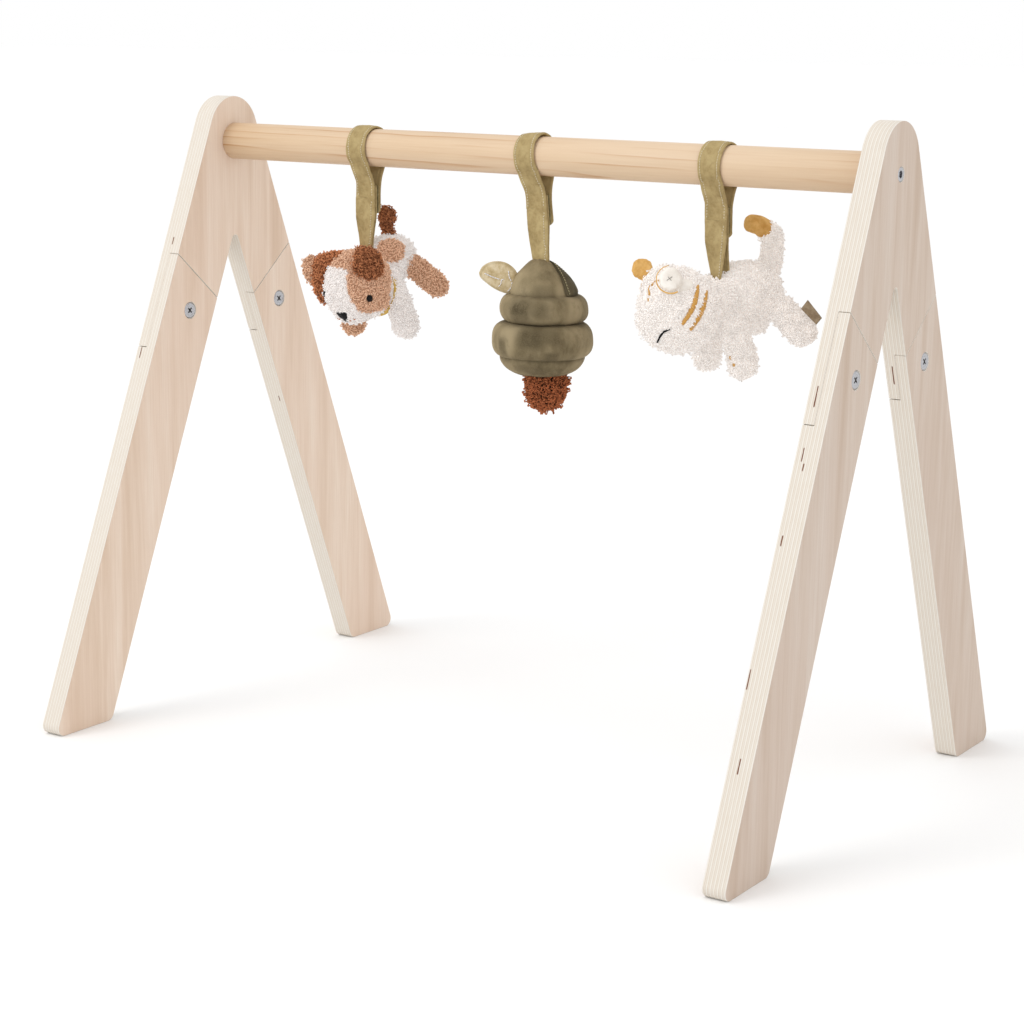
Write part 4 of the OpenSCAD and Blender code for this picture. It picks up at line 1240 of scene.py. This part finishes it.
DOME_PROFILE = [(0.6, -1.0), (4, -1.2), (7.5, -2.4), (10.6, -4.8), (15.2, -9.4), (19.4, -14.0), (22.7, -19),
                (25, -24.5), (26, -29.5)]
BASE_PROFILE = [(33.6, 1.2), (33.4, -2), (31.6, -5.6), (28, -9.2), (22.5, -12.2), (16, -14.2), (9, -15.0),
                (0.6, -15.2)]
hive_ring("hive_dome", DOME_PROFILE, 61, None, DOME_LOW - 1, lean=DOME_LEAN)
hive_ring("hive_upper_roll", roll_profile(35, UPPER_LOW - 0.4, DOME_LOW + 0.6, 22), 62, DOME_LOW + 0.6,
          UPPER_LOW - 0.4, shift=0.8)
hive_ring("hive_lower_roll", roll_profile(40, LOWER_LOW - 0.3, UPPER_LOW + 0.4, 27), 63, UPPER_LOW + 0.4,
          LOWER_LOW - 0.3)
hive_ring("hive_base", [(r, LOWER_LOW + z) for r, z in BASE_PROFILE], 64, LOWER_LOW + 0.6, None)
stuffed("hive_pompom", limb((4, 0, -94), (4, 0, -103.5), 13.2, 13.4, steps=8)
        + [((7, 0, -98), 11.5), ((1, 1, -98), 11.5), ((4, 3, -99), 11.5), ((4, -3, -99), 11.5)],
        mat_russet, "russet_boucle", 65, 2.0, yarn_size=(0.8, 3.0, 2.3, 0.62), smooth=2)

CUSHION_ROWS, CUSHION_SPOKES = 22, 120


def flat_cushion(name, edge, thick, to_local, mat, seed):
    """A thin stuffed shape with a sewn rim from its outline, points in its own plane."""
    ring = curve_through([(u, w, 0) for u, w in edge + edge[:1]], CUSHION_SPOKES)
    ring = resample(ring, np.linalg.norm(np.diff(ring, axis=0), axis=1).sum() / CUSHION_SPOKES)[0][:-1]
    middle, n = ring.mean(0), len(ring)
    verts, hollow = [], []
    for side in (1, -1):
        for k in range(CUSHION_ROWS + 1):
            t = k / CUSHION_ROWS
            pts = middle + (ring - middle) * t
            noise = soft_noise(np.stack([pts[:, 0] / 5, pts[:, 1] / 5, np.full(n, seed + side)], 1), seed)
            seam = bell(t - 0.9, 0.05)
            rise = thick / 2 * math.sqrt(1 - t ** 5) * (1 - 0.35 * seam)
            out = side * (rise + 0.25 * noise * (t < 1))
            verts += [world(toy_of(name), to_local(*pts[j, :2], out[j])) for j in range(n)]
            # painted shade in the crease of the sewn rim
            hollow += [0.3 * seam] * n
    rows = CUSHION_ROWS + 1
    faces = grid_faces(rows, n, turned=True)
    faces += [f[::-1] for f in grid_faces(rows, n, base=rows * n, turned=True)]
    ob = new_mesh(name, verts, faces, mat)
    store(ob, "hollow", hollow)
    tidy_mesh(ob, 0.02 * MM)
    return ob


# the standing leaf, in its own plane: u runs to its right and w up
LEAF_AT = np.array([-29.2, -18.7, -16.2])
LEAF_U = np.array([0.84, 0.54, 0.0])
LEAF_N = np.array([0.54, -0.84, 0.0])
LEAF_EDGE = [(-15.6, 3.6), (-12.8, 8.6), (-7.0, 12.0), (0, 12.8), (6.5, 11.2), (12.5, 6.5), (16, -1),
             (16.5, -8), (12, -13), (5, -12), (-3, -8.8), (-10, -4), (-14.4, 0)]
VEINS = [[(-11, 3.4), (-5, 0.8), (2, -1.4)], [(2, -1.4), (1.4, -5), (-1.8, -8.0)],
         [(7.4, 5.4), (8.2, 0.6), (10.4, -3.2)], [(10.4, -3.2), (9.6, -7), (6.8, -10.8)],
         [(2, -1.4), (4.0, -1.0)]]


def leaf_point(u, w, out):
    return LEAF_AT + LEAF_U * u + np.array([0, 0, 1.0]) * w + LEAF_N * out


leaf = flat_cushion("hive_leaf", LEAF_EDGE, 4.2, leaf_point, mat_leaf, 66)
wear(leaf, "leaf_velvet")
vein_lines = [[world("hive", leaf_point(u, w, 2)) for u, w in line] for line in VEINS]
wear(running_stitch("hive_leaf_veins", surface_of(leaf), vein_lines, mat_white_thread, 1.8, 0.5, 0.42, 0.4))

# the second leaf lies on the dome's side
FLAP_EDGE = [(0, -1.0), (-16, -5), (-29, -12), (-35, -19), (-36, -27.5), (-18, -28), (0, -28), (18, -28),
             (36, -27.5), (35, -19), (29, -12), (16, -5)]


def flap_point(u, w, out):
    """Wraps the flap round the dome: u in degrees round, w the height."""
    a = math.radians(22 + u)
    radius = np.interp(-w, [-z for _, z in DOME_PROFILE], [r for r, _ in DOME_PROFILE]) + 1.1 + out
    x, y = off_axis(w, DOME_LEAN)
    return np.array([math.cos(a) * radius + x, math.sin(a) * radius + y, w])


flap = flat_cushion("hive_flap", FLAP_EDGE, 2.4, flap_point, mat_flap, 67)
wear(flap, "dark_velvet")
hem_lines = [[world("hive", flap_point(u * 0.86, -2.5 + (w + 1) * 0.94, 2)) for u, w in part]
             for part in (FLAP_EDGE[:5], FLAP_EDGE[8:] + FLAP_EDGE[:1])]
wear(running_stitch("hive_flap_stitches", surface_of(flap), hem_lines, mat_khaki_thread, 1.8, 0.8, 0.26))

# ---- tiger

T_HEAD = np.array([0, -34, -24.0])
EYE_LINE = [(8.2, -56.5, -45.2), (12.9, -57, -40), (16.8, -56.5, -36.9), (21.3, -54, -34.6)]
CHEEKS = [[(22.2, -31.9, -3.9), (27.0, -37.0, -11.3), (28.8, -41.2, -19.5), (26.1, -47.3, -30.4)],
          [(24.4, -26.3, -8.3), (29.0, -31.5, -16.8), (29.9, -35.8, -24.6), (27.4, -41.3, -33.9)]]
CHEEK_WIDTHS = (1.8, 4.2, 4.4, 2.6)
BROW = [[(6.2, -54.2, -2.4), (2.6, -58.4, -6.8), (3.1, -60.9, -11.2)],
        [(-6.2, -54, 4.5), (-7.2, -56.5, -0.5), (-8.8, -57.8, -6.0)],
        [(2.0, -62.3, -13.9), (2.6, -62.5, -15.6)]]
BROW_WIDTHS = [(1.3, 2.2, 1.3), (1.4, 2.4, 0.8), (1.6, 1.2)]
PAW_DOTS = [(25.7, -3.8, -57.5), (28.7, -2.2, -62.4)]


def mirrored(line):
    return [(-x, y, z) for x, y, z in line]


def on_tiger(line):
    return [world("tiger", p) for p in line]


FAR_EYE = [(x - 4, y, z) for x, y, z in mirrored(EYE_LINE)]
calm_marks = [*curve_through(EYE_LINE, 12)]
for line in CHEEKS + BROW:
    calm_marks += [*curve_through(line, 14)]
HEAD_BALLS = [((0, 0, 2.6), 28.0), ((0, 0, -2.8), 28.2), ((6, 2, 0), 26.0), ((-6, 2, 0), 26.0),
              ((0, -8, -5), 22.4), ((0, -10.5, 15.5), 17.6)]
head_tree = stuffed("tiger_head", [(T_HEAD + off, radius) for off, radius in HEAD_BALLS], mat_cloud,
                    "white_boucle", 41, calm=calm_marks + mirrored(calm_marks))
stuffed("tiger_body", limb((0, 22, -15.5), (0, 31, -15.5), 24.2) + limb((0, -8, -21), (0, 16, -18), 19.2, 20)
        + limb((0, 8, -28), (0, 26, -24), 14, 15), mat_cloud, "white_boucle", 42,
        yarn_size=(0.46, 1.5, 2.0, 0.5))
TIGER_LEGS = {
    "left_front": ((14.5, 4, -32), (25.7, 8, -63), (1, 0, 0)),
    "right_front": ((-17, 8, -32), (-24.0, 11, -63.5), (-1, 0, 0)),
    "left_hind": ((16, 41, -21), (28.5, 59.5, -41.5), (0, 0, 1)),
    "right_hind": ((-16, 41, -21), (-26.5, 55.5, -39.5), (0, 0, 1)),
}
leg_trees = {}
for index, (leg, (a, b, bend)) in enumerate(TIGER_LEGS.items()):
    leg_trees[leg] = stuffed(f"tiger_{leg}_leg", limb(a, b, 9.6, 10.6, bend), mat_cloud, "white_boucle",
                             43 + index, calm=PAW_DOTS if leg == "left_front" else ())
stuffed("tiger_tail", limb((0, 46, 0), (0, 50.5, 28), 8.6, 7.4, (0, 1.5, 0))
        + limb((0, 50.5, 28), (0, 43, 33), 7.4, 6.8, steps=6), mat_cloud, "white_boucle", 47)
smooth_velvet("tiger_tail_tip", limb((0, 41.5, 34.0), (0, 31, 37.5), 7.6, 7.2, (0, 0, 1.0)), mat_mustard, 48)

# the left ear shows its cream side, the right one its mustard side; each is a flat disc and a fold at its root
EARS = {
    "left": dict(at=(17.8, -52.8, 1.2), facing=(0.76, -0.52, 0.40), size=(10.0, 10.6), fold=(2.8, 5.0, -0.8),
                 fold_size=(10.5, 6.5, 2.2), mat=mat_cream),
    "right": dict(at=(-23.4, -50.6, 4.8), facing=(0.80, -0.48, 0.36), size=(9.4, 9.8), fold=(2.0, 2.6, -3.0),
                  fold_size=(7.6, 7.4, 3.0), mat=mat_mustard),
}
PIPED = np.linspace(math.radians(100), math.radians(300), 50)


def ear_trim(plane):
    """The left ear's mustard piping round part of its rim, and the two crossed threads that tack it."""
    rim = on_tiger([plane @ Vector((10.5 * math.cos(a), 10.5 * math.sin(a), 0.5)) for a in PIPED])
    radii = np.linspace(0.3, 0.62, len(PIPED)) * MM
    wear(join_parts("tiger_left_ear_piping", [tube(rim, radii, 10)], mat_mustard))
    tack = [on_tiger([plane @ Vector((u * across - 1, u * up, 2.6 - 0.3 * u * u))
                      for u in np.linspace(-1, 1, 7)]) for across, up in ((1.9, 1.4), (-1.3, 1.5))]
    wear(join_parts("tiger_left_ear_tack", [tube(line, 0.26 * MM, 8) for line in tack], mat_grey_thread))


for side, ear in EARS.items():
    at = np.array(ear["at"])
    turn = Vector(unit(np.array(ear["facing"]))).to_track_quat("Z", "Y").to_matrix().to_4x4()
    plane = Matrix.Translation(Vector(at)) @ turn
    fold_at = Matrix.Translation(Vector(at * 0.86 + T_HEAD * 0.14) + Vector(ear["fold"])) @ turn
    smooth_velvet(f"tiger_{side}_ear", [], ear["mat"], 49, 1.2,
                  [plane @ Matrix.Diagonal((*ear["size"], 1.6, 1)),
                   fold_at @ Matrix.Diagonal((*ear["fold_size"], 1))])
    if side == "left":
        ear_trim(plane)

gold = [(on_tiger(line), CHEEK_WIDTHS) for line in CHEEKS + [mirrored(line) for line in CHEEKS]]
gold += [(on_tiger(line), widths) for line, widths in zip(BROW, BROW_WIDTHS)]
wear(satin("tiger_stripes", head_tree, gold, mat_gold, 3, 1.15))
lids = [(on_tiger(line), (1.1, 1.7, 1.1)) for line in (EYE_LINE, FAR_EYE)]
wear(satin("tiger_eyelids", head_tree, lids, mat_black, 4, 1.1))
dots = []
for place in PAW_DOTS:
    at, n = rest_on(leg_trees["left_front"], "tiger", place)
    level = unit(np.cross(n, (0, 0, 1)))
    for k in range(-2, 3):
        centre = at + np.cross(level, n) * k * 0.45 * MM
        dots.append(stitch(centre, n, level, 1.5 * math.sqrt(1 - k * k / 8), 1.3, 0.6,
                           (0.15, 0.3, 0.34, 0.3, 0.15)))
wear(join_parts("tiger_paw_dots", dots, mat_gold))

LABEL_CORNERS = [(37.2, 56.8, -16.4), (43.0, 66.2, -29.7), (40.9, 62.7, -34.8), (34.7, 52.6, -23.1)]
LABEL_ROWS, LABEL_COLS = 14, 24


def folded_label():
    """A woven ribbon folded in two, its ends in the seam."""
    a, b, c, d = on_tiger(LABEL_CORNERS)
    n = unit(np.cross(b - a, d - a))
    verts = []
    for side in (1, -1):
        for i in range(LABEL_ROWS + 1):
            for j in range(LABEL_COLS + 1):
                u, v = i / LABEL_ROWS, j / LABEL_COLS
                p = a * (1 - u) * (1 - v) + d * u * (1 - v) + b * (1 - u) * v + c * u * v
                off = side * (0.25 + 0.36 * math.sin(math.pi * v) ** 0.7) if j < LABEL_COLS else 0
                verts.append(p + n * MM * (off + 0.5 * math.sin(2.2 * v + 0.5)))
    rows, count = LABEL_ROWS + 1, LABEL_COLS + 1
    faces = grid_faces(rows, count, wrap=False)
    faces += [f[::-1] for f in grid_faces(rows, count, base=rows * count, wrap=False)]
    ob = new_mesh("tiger_label", verts, faces, mat_label)
    ob.modifiers.new("cloth", "SOLIDIFY").thickness = 0.35 * MM
    apply_modifiers(ob)
    return ob


wear(folded_label(), "woven_label")

# ---- floor, light and camera

floor_look = Look("pale_floor", 0.9)
mottle = floor_look.noise(floor_look.place(), 3.0, 2)
pale = floor_look.finish(floor_look.ramp(mottle, [(0.3, 0.90), (0.7, 0.92)]))
FLOOR_HALF = 40  # metres
floor_corners = [(x * FLOOR_HALF, y * FLOOR_HALF, 0) for x, y in ((-1, -1), (1, -1), (1, 1), (-1, 1))]
new_mesh("floor", floor_corners, [(0, 1, 2, 3)], pale)

scene = bpy.context.scene
scene.view_settings.view_transform = "Standard"
scene.world = bpy.data.worlds.new("studio")
scene.world.use_nodes = True
sky = scene.world.node_tree.nodes["Background"].inputs
sky["Color"].default_value = (1, 1, 1, 1)
sky["Strength"].default_value = 1.0

key = link("key", bpy.data.lights.new("key", "AREA"))
key.data.shape, key.data.size, key.data.energy = "DISK", 1.6, 16
key.data.color = (1, 0.99, 0.975)
key.location = (-1.2, -2.2, 2.2)
key.rotation_mode = "QUATERNION"
key.rotation_quaternion = (Vector((0, 0, 0.3)) - key.location).to_track_quat("-Z", "Y")
sun = link("sun", bpy.data.lights.new("sun", "SUN"))
sun.data.energy, sun.data.angle = 0.4, math.radians(40)
sun.rotation_euler = (math.radians(24), math.radians(-18), 0)

camera = link("camera", bpy.data.cameras.new("camera"))
camera.location = (0.9767, -1.4829, 0.5630)
camera.rotation_euler = [math.radians(a) for a in (78.031, -0.837, 33.782)]
camera.data.lens = 80.04
camera.data.sensor_width = 36
scene.camera = camera
